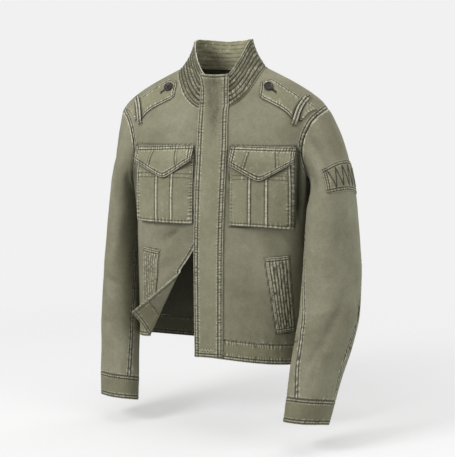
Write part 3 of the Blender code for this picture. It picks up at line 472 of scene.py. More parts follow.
def shell(name, outer, inner, cut, wear_and_shade, seam_dark_and_shade, ring=False):
    """A closed shell between two grids, with each point's place in the cut cloth, wear, dark seams and painted
    shade.
    """
    rows, columns = outer.shape[:2]
    behind = rows * columns
    steps = columns if ring else columns - 1
    i, j = np.meshgrid(np.arange(rows - 1), np.arange(steps), indexing="ij")
    k = (j + 1) % columns
    outside = np.stack([i * columns + j, i * columns + k, (i + 1) * columns + k, (i + 1) * columns + j], -1)
    inside = (outside + behind)[..., ::-1]
    j, k = np.arange(steps), (np.arange(steps) + 1) % columns
    low = np.stack([j, j + behind, k + behind, k], -1)
    top = low[:, ::-1] + (rows - 1) * columns
    faces = [outside.reshape(-1, 4), inside.reshape(-1, 4), low, top]
    if not ring:
        i = np.arange(rows - 1) * columns
        left = np.stack([i, i + columns, i + columns + behind, i + behind], -1)
        faces += [left, left[:, ::-1] + columns - 1]
    faces = np.concatenate(faces)
    points = np.concatenate([outer.reshape(-1, 3), inner.reshape(-1, 3)])
    corners = points[faces] - points.mean(0)
    volume = sum(np.linalg.det(corners[:, [0, n, n + 1]]).sum() for n in (1, 2))
    if volume < 0:
        faces = faces[:, ::-1]
    mesh = bpy.data.meshes.new(name)
    mesh.vertices.add(len(points))
    mesh.vertices.foreach_set("co", points.astype(np.float32).ravel())
    mesh.loops.add(faces.size)
    mesh.loops.foreach_set("vertex_index", np.ascontiguousarray(faces).ravel().astype(np.int32))
    mesh.polygons.add(len(faces))
    mesh.polygons.foreach_set("loop_start", np.arange(0, faces.size, 4, dtype=np.int32))
    mesh.update()
    mesh.validate()
    # Per point: wear with painted shade, the dark of seams with painted shadows, and 1 on the inner face, which
    # the material paints in shade, and on the collar in light.
    both = {
        "wear_and_shade": np.concatenate([wear_and_shade.ravel(), np.clip(2.0 * wear_and_shade.ravel() - 1.2, 0, 0.9)]),
        "seam_dark_and_shade": np.concatenate([seam_dark_and_shade.ravel(), 0.75 * seam_dark_and_shade.ravel()]),
        "inside": np.concatenate([np.zeros(behind), np.ones(behind)]),
    }
    for label, values in both.items():
        mesh.attributes.new(label, "FLOAT", "POINT").data.foreach_set("value", values.astype(np.float32))
    place = np.tile(cut.reshape(-1, 2), (2, 1))[faces]
    if ring:   # the last column's faces close on the first column, one girth further on
        wraps = np.ptp(place[..., 0], axis=1) > cut[..., 0].max() / 2
        girth = cut[..., 0].max() * columns / (columns - 1)
        behind_start = wraps[:, None] & (place[..., 0] < girth / 2)
        place[..., 0] = np.where(behind_start, place[..., 0] + girth, place[..., 0])
    mesh.uv_layers.new(name="cut").data.foreach_set("uv", place.astype(np.float32).ravel())
    mesh.shade_smooth()
    mesh.set_sharp_from_angle(angle=math.radians(62))
    return placed(name, mesh)


def smoothed(grid, times):
    for _ in range(times):
        padded = np.pad(grid, 1, mode="edge")
        grid = (padded[:-2, 1:-1] + padded[2:, 1:-1] + padded[1:-1, :-2] + padded[1:-1, 2:] + 2 * grid) / 6
    return grid


def panel(name, skin, near, far, low, high, form, seed, step=0.0026, thick=CLOTH, ring=False, rows=None,
          columns=None, wear=1.0):
    """A piece of cloth on the surface skin(v, u, out), sewn along its four sides.

    near and far are the sides at u 0 and 1, low and high those at v 0 and 1, each rows of stitching and
    pucker. form(v, u, s, t) adds the piece's own height, the dark of its seams and its wear, each with any
    painted shade, s and t being metres across and along it. rows and columns are the grid's own v and u,
    where they aren't spaced evenly. wear is how pale its rises rub.
    """
    dense = np.linspace(0, 1, 240)
    if rows is None:
        upright = run_along(skin(dense[:, None], np.full((len(dense), 1), 0.5), 0.0), 0)[:, 0]
        wanted = spaced(upright[-1], marks(low[0]), marks(high[0]), step)[0]
        rows = np.interp(wanted, upright, dense)
    v = np.asarray(rows)[:, None]
    if columns is not None:
        dense = np.union1d(dense, columns)
    level = run_along(skin(v, np.broadcast_to(dense[None], (len(v), len(dense))), 0.0), 1)
    if columns is not None:
        across = np.array([np.interp(columns, dense, run) for run in level])
    elif ring:
        girth = level[:, -1]
        count = int(girth.mean() / step)
        across = girth[:, None] * np.linspace(0, 1, count, endpoint=False)
    else:
        across = spaced(level[:, -1], marks(near[0]), marks(far[0]), step)
    u = np.array([np.interp(want, run, dense) for want, run in zip(across, level)])
    plain = skin(v, u, np.zeros(u.shape))
    s, t = across, run_along(plain, 0)
    sides = [(t, s, low, 2), (t[-1] - t, s, high, 3)]
    if not ring:
        sides += [(s, t, near, 0), (s[:, -1:] - s, t, far, 1)]
    layers = [near_seam(d, along, *sewn, seed * 5 + k) for d, along, sewn, k in sides] + [form(v, u, s, t)]
    # Each form's dark and pale carry its painted shade along with the seams' dark and the wear.
    height, seam_dark_and_shade, wear_shade = (np.zeros(u.shape) for _ in range(3))
    for more, dark, pale in layers:
        height, seam_dark_and_shade, wear_shade = height + more, np.maximum(seam_dark_and_shade, dark), wear_shade + pale
    rise = height - smoothed(height, 10)
    wear_shade = np.clip(wear_shade + wear * np.clip(rise / 0.0009, -0.5, 0.5), -1, 1)
    outer = skin(v, u, height)
    inner = skin(v, u, 0.7 * smoothed(height, 4) - thick)
    cut = np.stack([s, t], -1)
    made = shell(name, outer, inner, cut, wear_shade, np.clip(seam_dark_and_shade, 0, 1), ring)
    width, length = level[:, -1].max(), t.max()
    return SimpleNamespace(piece=made, outer=outer, normal=normals_of(outer, outer - inner), s=s, t=t,
                           flat=(width, length), area=min(float(area_of(plain)), width * length))


def unshade_turned_face(cloth):
    """Where a corner is turned out, the painted shade on its inner face is taken off where that face looks
    forward.
    """
    values = cloth.piece.data.attributes["inside"].data
    shown = 1 - 0.88 * smooth_step((cloth.normal[..., 1] + 0.10) / 0.35).ravel()
    values.foreach_set("value", np.concatenate([np.zeros(len(shown)), shown]).astype(np.float32))


def row_of(cloth, side, distance, start=0.0, end=0.0):
    """The line of points that a row of stitching follows, at a distance from one side of a piece."""
    if side in ("near", "far"):
        d = cloth.s[len(cloth.s) // 2]
        j = np.argmin(np.abs((d if side == "near" else d[-1] - d) - distance))
        line, normal = cloth.outer[:, j], cloth.normal[:, j]
    else:
        d = cloth.t[:, cloth.t.shape[1] // 2]
        i = np.argmin(np.abs((d if side == "low" else d[-1] - d) - distance))
        line, normal = cloth.outer[i], cloth.normal[i]
    run = run_along(line, 0)
    kept = (run >= start) & (run <= run[-1] - end)
    return line[kept], normal[kept]


def linear(hex_colour):
    """An sRGB hex colour as linear red, green, blue and alpha."""
    parts = [int(hex_colour[i:i + 2], 16) / 255 for i in (1, 3, 5)]
    return tuple(c / 12.92 if c <= 0.04045 else ((c + 0.055) / 1.055) ** 2.4 for c in parts) + (1.0,)


def add(tree, kind, inputs=None, **settings):
    """One node: settings are its properties, inputs its sockets, each a value or another node's output."""
    node = tree.nodes.new(kind)
    for label, value in settings.items():
        setattr(node, label, value)
    for socket, value in (inputs or {}).items():
        if isinstance(value, bpy.types.NodeSocket):
            tree.links.new(value, node.inputs[socket])
        else:
            node.inputs[socket].default_value = value
    return node


def maths(tree, how, *values):
    return add(tree, "ShaderNodeMath", dict(enumerate(values)), operation=how).outputs[0]


def noise(tree, place, scale, detail, roughness=0.5, **more):
    inputs = {"Vector": place, "Scale": scale, "Detail": detail, "Roughness": roughness, **more}
    return add(tree, "ShaderNodeTexNoise", inputs).outputs["Fac"]


def ranged(tree, value, given=(0.0, 1.0), wanted=(0.0, 1.0)):
    ends = {"From Min": given[0], "From Max": given[1], "To Min": wanted[0], "To Max": wanted[1]}
    return add(tree, "ShaderNodeMapRange", {"Value": value, **ends}).outputs[0]


def blended(tree, share, first, second):
    return add(tree, "ShaderNodeMixRGB", {"Fac": share, "Color1": first, "Color2": second}).outputs["Color"]


def new_material(name):
    """A material, its tree, its shader, and the place on the object by which its textures are laid."""
    made = bpy.data.materials.new(name)
    made.use_nodes = True
    tree = made.node_tree
    return made, tree, tree.nodes["Principled BSDF"], add(tree, "ShaderNodeTexCoord").outputs["Object"]


# From one diagonal rib to the next, drawn about twice as coarse as spun so that it shows close up.
TWILL_RIB = 0.0014
KHAKI = "#8B8975"
KHAKI_DEEP = "#787661"
RUBBED_PALE = "#CBC8B2"
# Near black: the dye left in the seams, and the painted shade in creases, hollows and under the pieces sewn on.
DYE_AND_SHADE_DARK = "#17160F"


def washed_twill(name, khaki=KHAKI, deep=KHAKI_DEEP, pale=RUBBED_PALE, inner=-0.16):
    """Garment-washed cotton twill, piece-dyed khaki: dull, dry, softly napped, abraded pale on its ridges and
    dark in its seams, with painted shade in its creases and hollows and painted shadows under and beside the
    pieces sewn on it. Cotton's index is 1.5, and a brushed nap gives it a faint sheen. `inner` sets the inner
    face's tone against the outer one's: painted shade below 0, painted light above 0."""
    made, tree, shader, place = new_material(name)
    flat = add(tree, "ShaderNodeUVMap", uv_map="cut").outputs["UV"]
    wear_and_shade, seam_dark_and_shade, inside = (add(tree, "ShaderNodeAttribute", attribute_name=label).outputs["Fac"]
                              for label in ("wear_and_shade", "seam_dark_and_shade", "inside"))
    clouds = noise(tree, place, 11.0, 4.0, 0.55)
    flecks = noise(tree, place, 95.0, 3.0, 0.6)
    nap = noise(tree, place, 330.0, 2.0, 0.7)
    drawn = add(tree, "ShaderNodeMapping", {"Vector": flat, "Scale": (900.0, 160.0, 1.0)}).outputs[0]
    slubs = noise(tree, drawn, 1.0, 2.0)
    ribs = add(tree, "ShaderNodeTexWave", {"Vector": flat, "Scale": 0.628 / TWILL_RIB, "Distortion": 0.6,
                                           "Detail": 1.0, "Detail Scale": 2.0},
               wave_type="BANDS", bands_direction="DIAGONAL", wave_profile="SIN").outputs["Fac"]
    grain = maths(tree, "MULTIPLY", slubs, 0.22)
    for texture, weight in ((ribs, 0.10), (flecks, 0.30), (nap, 0.42)):
        grain = maths(tree, "MULTIPLY_ADD", texture, weight, grain)
    grain = ranged(tree, grain, (0.34, 0.70), (0.80, 1.18))
    broken = maths(tree, "MULTIPLY_ADD", noise(tree, place, 210.0, 2.0, 0.6), 3.4, -0.65)
    # Pale where worn; where negative, painted shade in the creases and hollows.
    worn_and_shaded = maths(tree, "MULTIPLY", wear_and_shade, broken)
    lighter = ranged(tree, worn_and_shaded, (0.14, 1.0), (0.0, 0.80))
    darker = ranged(tree, worn_and_shaded, (-0.12, -1.0), (0.0, 0.50))
    # The dark of the seams, with the painted shadows under and beside the pieces sewn on.
    sunk = maths(tree, "MULTIPLY", seam_dark_and_shade, 0.95)
    colour = blended(tree, ranged(tree, clouds, (0.34, 0.68)), linear(deep), linear(khaki))
    for share, tone in ((lighter, pale), (darker, DYE_AND_SHADE_DARK), (sunk, DYE_AND_SHADE_DARK)):
        colour = blended(tree, share, colour, linear(tone))
    # The inner face is painted in shade where `inner` is below 0, in light where it is above 0.
    shade = maths(tree, "MULTIPLY", maths(tree, "MULTIPLY_ADD", inside, inner, 1.0), grain)
    toned = add(tree, "ShaderNodeVectorMath", {0: colour, "Scale": shade}, operation="SCALE")
    fine = maths(tree, "MULTIPLY_ADD", ribs, 0.5, slubs)
    weave = add(tree, "ShaderNodeBump", {"Height": fine, "Strength": 0.30, "Distance": 0.0003})
    crumple = noise(tree, place, 62.0, 4.0)
    rumple = add(tree, "ShaderNodeBump", {"Height": crumple, "Strength": 0.35, "Distance": 0.0022,
                                          "Normal": weave.outputs[0]})
    tree.links.new(toned.outputs[0], shader.inputs["Base Color"])
    tree.links.new(ranged(tree, flecks, wanted=(0.80, 0.96)), shader.inputs["Roughness"])
    tree.links.new(rumple.outputs[0], shader.inputs["Normal"])
    shader.inputs["IOR"].default_value = 1.5
    shader.inputs["Specular IOR Level"].default_value = 0.22
    shader.inputs["Sheen Weight"].default_value = 0.16
    shader.inputs["Sheen Roughness"].default_value = 0.45
    shader.inputs["Sheen Tint"].default_value = linear("#C9C7B2")
    return made


# A stitch's length, from one stitch to the next, and the thread's width.
STITCH = 0.0026
STITCH_PITCH = 0.0033
THREAD = 0.00062


def thread_material(name, dark, light):
    """Polyester-cotton sewing thread in two mottled tones, with a faint lustre."""
    made, tree, shader, place = new_material(name)
    tone = blended(tree, noise(tree, place, 240.0, 2.0), linear(dark), linear(light))
    twist = noise(tree, place, 2600.0, 1.0)
    bump = add(tree, "ShaderNodeBump", {"Height": twist, "Strength": 0.4, "Distance": 0.0001})
    tree.links.new(tone, shader.inputs["Base Color"])
    tree.links.new(bump.outputs[0], shader.inputs["Normal"])
    shader.inputs["Roughness"].default_value = 0.62
    shader.inputs["Sheen Weight"].default_value = 0.10
    return made


# Dyed with the cloth but coloured far darker than it: partly the dirt held in the seams, partly painted shade
# of the channels the thread lies in.
THREAD_FINISH = thread_material("tonal_thread", "#2F2E21", "#464432")


def stitch_tree():
    """Lays one short thread on every point, along its `way` and standing on its `up`."""
    tree = bpy.data.node_groups.new("rows_of_stitches", "GeometryNodeTree")
    face = tree.interface
    face.new_socket("Geometry", in_out="INPUT", socket_type="NodeSocketGeometry")
    for label in ("Stitch length", "Thread width", "Thread height"):
        face.new_socket(label, in_out="INPUT", socket_type="NodeSocketFloat")
    face.new_socket("Seed", in_out="INPUT", socket_type="NodeSocketInt")
    face.new_socket("Thread", in_out="INPUT", socket_type="NodeSocketMaterial")
    face.new_socket("Geometry", in_out="OUTPUT", socket_type="NodeSocketGeometry")
    given = add(tree, "NodeGroupInput").outputs
    size = add(tree, "ShaderNodeCombineXYZ", {0: given["Stitch length"], 1: given["Thread width"],
                                              2: given["Thread height"]})
    bead = add(tree, "GeometryNodeMeshIcoSphere", {"Radius": 0.5, "Subdivisions": 1})
    thread = add(tree, "GeometryNodeTransform", {"Geometry": bead.outputs["Mesh"], "Scale": size.outputs[0]})
    up = add(tree, "GeometryNodeInputNamedAttribute", {"Name": "up"}, data_type="FLOAT_VECTOR")
    way = add(tree, "GeometryNodeInputNamedAttribute", {"Name": "way"}, data_type="FLOAT_VECTOR")
    axes = {"Primary Axis": up.outputs[0], "Secondary Axis": way.outputs[0]}
    turn = add(tree, "FunctionNodeAxesToRotation", axes, primary_axis="Z", secondary_axis="X")
    uneven = add(tree, "FunctionNodeRandomValue", {"Seed": given["Seed"]}, data_type="FLOAT")
    uneven.inputs[2].default_value, uneven.inputs[3].default_value = 0.82, 1.12
    laid = add(tree, "GeometryNodeInstanceOnPoints", {
        "Points": given["Geometry"], "Instance": thread.outputs[0],
        "Rotation": turn.outputs[0], "Scale": uneven.outputs[1],
    })
    real = add(tree, "GeometryNodeRealizeInstances", {"Geometry": laid.outputs[0]})
    smooth = add(tree, "GeometryNodeSetShadeSmooth", {0: real.outputs[0]})
    dyed = add(tree, "GeometryNodeSetMaterial", {"Geometry": smooth.outputs[0], "Material": given["Thread"]})
    add(tree, "NodeGroupOutput", {0: dyed.outputs[0]})
    return tree


STITCHES = stitch_tree()


def stitched(name, lines, pitch=STITCH_PITCH, lift=0.00008, **sizes):
    """Rows of lockstitch along lines of points and normals, as one plain mesh."""
    places, ups, ways = [], [], []
    for n, (line, normal) in enumerate(lines):
        run = run_along(line, 0)

        def found(steps, values):
            return np.stack([np.interp(steps, run, values[:, k]) for k in range(3)], -1)

        at = np.arange(pitch * (0.3 + 0.37 * (n % 2)), run[-1], pitch)
        up = unit(found(at, normal))
        places.append(found(at, line) + up * lift)
        ups.append(up)
        ways.append(unit(found(at + pitch / 3, line) - found(at - pitch / 3, line)))
    return laid_stitches(name, np.concatenate(places), np.concatenate(ups), np.concatenate(ways), **sizes)


def laid_stitches(name, places, ups, ways, length=STITCH, width=THREAD, height=0.0005, seed=1,
                  finish=THREAD_FINISH):
    """One thread at each place, as one plain mesh."""
    dots = bpy.data.meshes.new(name + "_dots")
    dots.from_pydata(np.array(places).tolist(), [], [])
    for label, values in (("up", ups), ("way", ways)):
        attribute = dots.attributes.new(label, "FLOAT_VECTOR", "POINT")
        attribute.data.foreach_set("vector", np.array(values).astype(np.float32).ravel())
    maker = placed(name + "_dots", dots)
    modifier = maker.modifiers.new("rows_of_stitches", "NODES")
    modifier.node_group = STITCHES
    sizes = {"Stitch length": length, "Thread width": width, "Thread height": height, "Seed": seed,
             "Thread": finish}
    for item in STITCHES.interface.items_tree:
        if item.in_out == "INPUT" and item.name in sizes:
            modifier[item.identifier] = sizes[item.name]
    mesh = bpy.data.meshes.new_from_object(maker.evaluated_get(bpy.context.evaluated_depsgraph_get()))
    mesh.name = name
    bpy.data.objects.remove(maker)
    return placed(name, mesh)


def dress(cloth, node, material, sewing=()):
    """Puts a piece of cloth in its solid's place and states its cut."""
    piece = cloth.piece
    piece.data.materials.append(material)
    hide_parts(node)
    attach(piece, "root")
    for thread in sewing:
        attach(thread, "root")
    print("CUT %s %.0f x %.0f mm, %.4f m2, %d triangles" % (
        node, cloth.flat[0] * 1000, cloth.flat[1] * 1000, cloth.area, len(piece.data.polygons) * 2))


# Its inner face is painted far darker than the outer one, as shade.
SHELL_TWILL = washed_twill("washed_twill", inner=-0.60)
SPLIT = 0.56           # share of a front's or the back's height that lies below the armpit
NECK_SHARE = 5 / 11    # share of the upper rows that end on the centre line


def front_place(side, v, u):
    """Angle and height on a front: v from the band's seam up to the shoulder seam, u out from the centre."""
    share, w = np.clip(v / SPLIT, 0, 1), np.clip((v - SPLIT) / (1 - SPLIT), 0, 1)
    seam, ridge = math.pi / 2 - SEAM_ANGLE, math.pi / 2 - RIDGE_ANGLE
    if side > 0:
        edge = np.full(np.shape(share), CENTRE_ANGLE)
    else:
        inner_height = height_below_arm(np.full(np.shape(share), RIGHT_OF_CENTRE), share)
        edge = -angle_of(right_front_edge(inner_height), inner_height)
    low_angle = edge + (seam - edge) * u
    low_height = height_below_arm(side * low_angle, np.broadcast_to(share, low_angle.shape))
    neck_low = neckline(np.array(0.0))[2]
    around = np.clip((w - NECK_SHARE) / (1 - NECK_SHARE), 0, 1) * math.pi / 2
    neck = neckline(around)
    on_centre = w <= NECK_SHARE
    inner_angle = np.where(on_centre, CENTRE_ANGLE, np.where(w < 1, surface_angle(neck), ridge))
    inner_height = np.where(on_centre, ARMPIT + (neck_low - ARMPIT) * w / NECK_SHARE, neck[..., 2])
    hole = armhole(np.pi * (1 - w), 1)
    outer_angle = np.where((w > 0) & (w < 1), surface_angle(hole), np.where(w > 0, ridge, seam))
    high_angle = inner_angle + (outer_angle - inner_angle) * u
    high_height = inner_height + (hole[..., 2] - inner_height) * u
    below = v < SPLIT
    return side * np.where(below, low_angle, high_angle), np.where(below, low_height, high_height)


def front_skin(side):
    def skin(v, u, out):
        angles, heights = front_place(side, v, u)
        out = np.broadcast_to(out, angles.shape)
        return right_points(angles, heights, out) if side < 0 else body_skin(body_at(angles, heights), out)
    return skin


# What is sewn on each front, the pocket with its flap and the welt: height, x of the inner and the outer edge,
# at its top and at its foot.
SEWN_ON = {
    1: (((-0.167, 0.0465, 0.1810), (-0.338, 0.0470, 0.1780)),
        ((-0.408, 0.1225, 0.1680), (-0.576, 0.1465, 0.1785))),
    -1: (((-0.166, 0.0375, 0.1820), (-0.332, 0.0355, 0.1735)),
         ((-0.400, 0.1190, 0.1640), (-0.549, 0.1365, 0.1690))),
}
SOFT_EDGE = 0.004
# The pocket flaps: x and height of the top inner and top outer corners, the lower inner one, the point and
# the lower outer one. The cloth under their edges gets a painted shadow, as round the shoulder straps.
FLAP_OUTLINE = {
    1: ((0.0470, -0.1655), (0.1812, -0.1692), (0.0440, -0.2080), (0.1062, -0.2405), (0.1705, -0.2035)),
    -1: ((0.0380, -0.1645), (0.1828, -0.1700), (0.0385, -0.1990), (0.1007, -0.2365), (0.1765, -0.2010)),
}
# The shoulder straps from the armhole to the point: out and forward at the rear edge, then at the front one.
STRAP_EDGES = (
    (0.2205, 0.0330, 0.1905, 0.0600),
    (0.1880, 0.0385, 0.1730, 0.0672),
    (0.1520, 0.0355, 0.1370, 0.0665),
    (0.1167, 0.0325, 0.1060, 0.0640),
    (0.0975, 0.0440, 0.0985, 0.0612),
)
# The strap's outline, along which the front below gets a painted shadow.
STRAP_OUTLINE = [edge[2:] for edge in STRAP_EDGES] + [edge[:2] for edge in STRAP_EDGES[:0:-1]]


def from_line(x, y, corners):
    """Distance of places from a line through these corners."""
    nearest = np.full(np.broadcast(x, y).shape, np.inf)
    for (x0, y0), (x1, y1) in zip(corners, corners[1:]):
        share = ((x - x0) * (x1 - x0) + (y - y0) * (y1 - y0)) / ((x1 - x0) ** 2 + (y1 - y0) ** 2)
        share = np.clip(share, 0, 1)
        nearest = np.minimum(nearest, np.hypot(x - x0 - (x1 - x0) * share, y - y0 - (y1 - y0) * share))
    return nearest


def flap_foot(side, u):
    """x and height along a flap's lower edge, whose point is rounded."""
    _, _, low_inner, point, low_outer = np.array(FLAP_OUTLINE[side])
    from_point = np.abs(2 * u - 1)
    rounded = (np.sqrt(from_point ** 2 + 0.01) - 0.1) / 0.905
    corner = np.where((u < 0.5)[..., None], low_inner, low_outer)
    return point + (corner - point) * np.stack([from_point, rounded], -1)


def flap_shadow(side, x, height):
    """The painted shadow on the cloth under a flap's free edges, darkest where the pocket stands out furthest.
    """
    top_inner, top_outer, _, point, _ = FLAP_OUTLINE[side]
    d = from_line(x, height, [top_inner, *flap_foot(side, np.linspace(0, 1, 9)), top_outer])
    outward = smooth_step((x - point[0] + 0.02) / 0.05)
    return bell(d, 0.0030 + 0.0016 * outward) * (0.50 + 0.48 * outward)


def within(value, low, high):
    past_low = smooth_step((value - low + SOFT_EDGE) / SOFT_EDGE)
    return past_low * smooth_step((high + SOFT_EDGE - value) / SOFT_EDGE)


def sewn_over(side, x, height):
    """1 where another piece lies sewn on the front, 0 clear of it, with a soft edge."""
    covered = np.zeros(np.broadcast(x, height).shape)
    for top, foot in SEWN_ON[side]:
        down = np.clip((top[0] - height) / (top[0] - foot[0]), 0, 1)
        inner, outer = (top[k] + (foot[k] - top[k]) * down for k in (1, 2))
        covered = np.maximum(covered, within(np.abs(x), inner, outer) * within(height, foot[0], top[0]))
    return covered


def front_form(side):
    def form(v, u, s, t):
        angles, heights = front_place(side, v, u)
        x = body_at(angles, heights)[..., 0]
        height = creased(x, heights, FRONT_CREASES)
        height += lumps(x, heights, (0.0006, 0.050, 0.085, 2 + side), (0.00028, 0.016, 0.028, 5))
        covered = sewn_over(side, x, heights)
        height = height * (1 - 0.85 * covered) * (1 - 0.6 * smooth_step((heights + 0.125) / 0.030))
        drawn = bell(t, 0.024) * 0.0006 * ripples(s, 0.019, 31 + side)
        # Painted shadow in a ring round the edges of the pocket and the welt sewn on.
        ring = 4 * covered * (1 - covered)
        ring = ring * np.where(heights > -0.36, 0.88, 0.78)
        # Painted shadow along the shoulder strap's edges.
        forward = -body_at(angles, heights)[..., 1]
        strap = bell(from_line(np.abs(x), forward, STRAP_OUTLINE), 0.0017) * (heights > -0.165)
        # Painted shade beside the pocket's outer edge on the left front, and on the right front by the side
        # seam, where the sleeve shades the body.
        top, foot = SEWN_ON[side][0]
        outer = top[2] + (foot[2] - top[2]) * np.clip((top[0] - heights) / (top[0] - foot[0]), 0, 1)
        shade_beside_pocket = bell(side * x - outer - 0.0065, 0.0065) * smooth_step((heights + 0.350) / 0.060)
        shade_by_side_seam = bell(side * x - 0.1965, 0.0065) * smooth_step((heights + 0.600) / 0.100)
        shade_beside_pocket = np.where(side > 0, 0.95 * shade_beside_pocket, 0.80 * shade_by_side_seam) * smooth_step((-0.160 - heights) / 0.020)
        # All of the front's dark is painted shade: these shadows, the shade in the creases' troughs and the
        # flap's shadow.
        dark = np.maximum(np.maximum(ring, shade_beside_pocket), 0.4 * np.clip(-height / 0.0032 - 0.15, 0, 1))
        dark = np.maximum(np.maximum(dark, 0.80 * strap), 0.9 * flap_shadow(side, np.abs(x), heights))
        # Painted shade in the creases' troughs; on the right front a pale line on the turned corner's free
        # edge, partly wear and partly painted highlight.
        worn_and_shaded = np.clip(height / 0.0070, -0.5, 0.06)
        if side < 0:
            worn_and_shaded = worn_and_shaded + 1.3 * bell(s, 0.0024) * (heights < -0.36)
        return height + drawn, dark, worn_and_shaded
    return form


for label, side in (("left", 1), ("right", -1)):
    centre = TURNED_EDGE if side < 0 else PLAIN
    front = panel("front_%s_cloth" % label, front_skin(side), centre, DOUBLE, PLAIN, PLAIN, step=0.0030,
                  form=front_form(side), seed=3 + side, wear=QUIET_WEAR)
    if side < 0:
        unshade_turned_face(front)
    lines = [row_of(front, "far", d, 0.0, 0.004) for d in DOUBLE[0]]
    if side < 0:
        lines.append(row_of(front, "near", TURNED_EDGE[0][0], 0.002, 0.35))
    threads = stitched("front_%s_stitches" % label, lines)
    dress(front, "front_" + label, SHELL_TWILL, [threads])

# ------------------------------------------------------------------ the back
# One panel from side seam to side seam, of the same twill, felled to the fronts at the sides and shoulders.
# It hangs from the shoulder blades in soft slanting folds and drops straight to the band.
BACK_CREASES = (
    (0.150, -0.235, 0.085, -0.330, 0.012, 0.014, 0.0030),
    (-0.150, -0.235, -0.085, -0.330, -0.012, 0.014, 0.0030),
    (0.185, -0.215, 0.135, -0.290, 0.008, 0.009, -0.0024),
    (-0.185, -0.215, -0.125, -0.300, -0.008, 0.010, -0.0024),
    (0.060, -0.120, 0.075, -0.260, 0.006, 0.012, 0.0014),
    (-0.060, -0.115, -0.070, -0.250, -0.004, 0.013, 0.0014),
    (0.010, -0.200, 0.020, -0.420, 0.008, 0.018, -0.0016),
    (-0.095, -0.330, -0.030, -0.430, 0.010, 0.014, 0.0022),
    (0.120, -0.360, 0.030, -0.440, -0.012, 0.014, 0.0024),
    (0.160, -0.420, 0.060, -0.500, -0.010, 0.012, -0.0020),
    (-0.165, -0.400, -0.080, -0.500, 0.010, 0.013, 0.0022),
    (-0.060, -0.480, -0.110, -0.590, 0.006, 0.012, -0.0018),
    (0.090, -0.500, 0.115, -0.600, -0.006, 0.012, 0.0018),
    (0.010, -0.520, -0.010, -0.602, 0.004, 0.010, 0.0013),
)
NECK_SHARES = (7 / 24, 17 / 24)    # of the panel's top edge: the neckline lies between


def back_edges():
    """Angles and heights along the panel's top edge, and up its armholes, close together."""
    u, w = np.linspace(0, 1, 600), np.linspace(0, 1, 300)
    seam, ridge = math.pi / 2 + SEAM_ANGLE, math.pi / 2 + RIDGE_ANGLE
    widest = section(np.array(ARMHOLE_CENTRE + ARMHOLE_HALF_HEIGHT))["half_width"]
    mirrored = np.minimum(u, 1 - u)
    shoulder = np.clip(mirrored / NECK_SHARES[0], 0, 1)
    x = widest + (NECK_HALF_WIDTH - widest) * shoulder
    around = math.pi / 2 + math.pi * np.clip((u - NECK_SHARES[0]) / (NECK_SHARES[1] - NECK_SHARES[0]), 0, 1)
    neck = neckline(around)
    neck_angle = surface_angle(neck + np.array([0, 1e-6, 0]))
    neck_angle = np.where(neck[:, 0] < 0, 2 * math.pi - neck_angle, neck_angle)
    on_neck = (u > NECK_SHARES[0]) & (u < NECK_SHARES[1])
    on_ridge = np.where(u < 0.5, ridge, 2 * math.pi - ridge)
    top_angle = np.where(on_neck, neck_angle, on_ridge)
    top_height = np.where(on_neck, neck[:, 2], height_over(x, np.zeros(x.shape)))
    hole = armhole(-math.pi * (1 - w), 1)
    side_angle = surface_angle(hole)
    side_angle[0], side_angle[-1] = seam, ridge
    side_height = hole[:, 2].copy()
    side_height[-1] = top_height[0]
    return u, top_angle, top_height, w, side_angle, side_height


BACK_EDGES = back_edges()


def back_place(v, u):
    """Angle and height on the back: v from the band's seam up, u from the left side seam to the right."""
    top_u, top_angle, top_height, side_w, side_angle, side_height = BACK_EDGES
    share, w = np.clip(v / SPLIT, 0, 1), np.clip((v - SPLIT) / (1 - SPLIT), 0, 1)
    seam, ridge, turn = math.pi / 2 + SEAM_ANGLE, math.pi / 2 + RIDGE_ANGLE, 2 * math.pi
    below = seam + (turn - 2 * seam) * u
    signed = np.where(below > math.pi, below - turn, below)
    low_height = height_below_arm(signed, np.broadcast_to(share, below.shape))
    over_angle, over_height = np.interp(u, top_u, top_angle), np.interp(u, top_u, top_height)
    end_angle, end_height = np.interp(w, side_w, side_angle), np.interp(w, side_w, side_height)
    corner_angle = seam * (1 - w) + ridge * w
    ends = end_angle * (1 - u) + (turn - end_angle) * u
    corners = corner_angle * (1 - u) + (turn - corner_angle) * u
    corner_height = ARMPIT * (1 - w) + top_height[0] * w
    high_angle = (1 - w) * below + w * over_angle + ends - corners
    high_height = (1 - w) * ARMPIT + w * over_height + end_height - corner_height
    lower = v < SPLIT
    return np.where(lower, below, high_angle), np.where(lower, low_height, high_height)


def back_skin(v, u, out):
    angles, heights = back_place(v, u)
    return body_skin(body_at(angles, heights), np.broadcast_to(out, angles.shape))


def back_form(v, u, s, t):
    angles, heights = back_place(v, u)
    x = body_at(angles, heights)[..., 0]
    height = 1.35 * creased(x, heights, BACK_CREASES)
    height += lumps(x, heights, (0.0007, 0.060, 0.090, 8), (0.00028, 0.016, 0.028, 9))
    height = height * (1 - 0.6 * smooth_step((heights + 0.125) / 0.030))
    drawn = bell(t, 0.032) * 0.0010 * ripples(s, 0.022, 41)
    # Its tone is painted shade in the creases' troughs.
    return height + drawn, np.zeros(u.shape), np.clip(height / 0.0070, -0.5, 0.06)


back = panel("back_cloth", back_skin, DOUBLE, DOUBLE, PLAIN, PLAIN, step=0.0043, form=back_form, seed=6,
             wear=QUIET_WEAR)
back_rows = [row_of(back, side, d, 0.0, 0.004) for side in ("near", "far") for d in DOUBLE[0]]
dress(back, "back", SHELL_TWILL, [stitched("back_stitches", back_rows)])

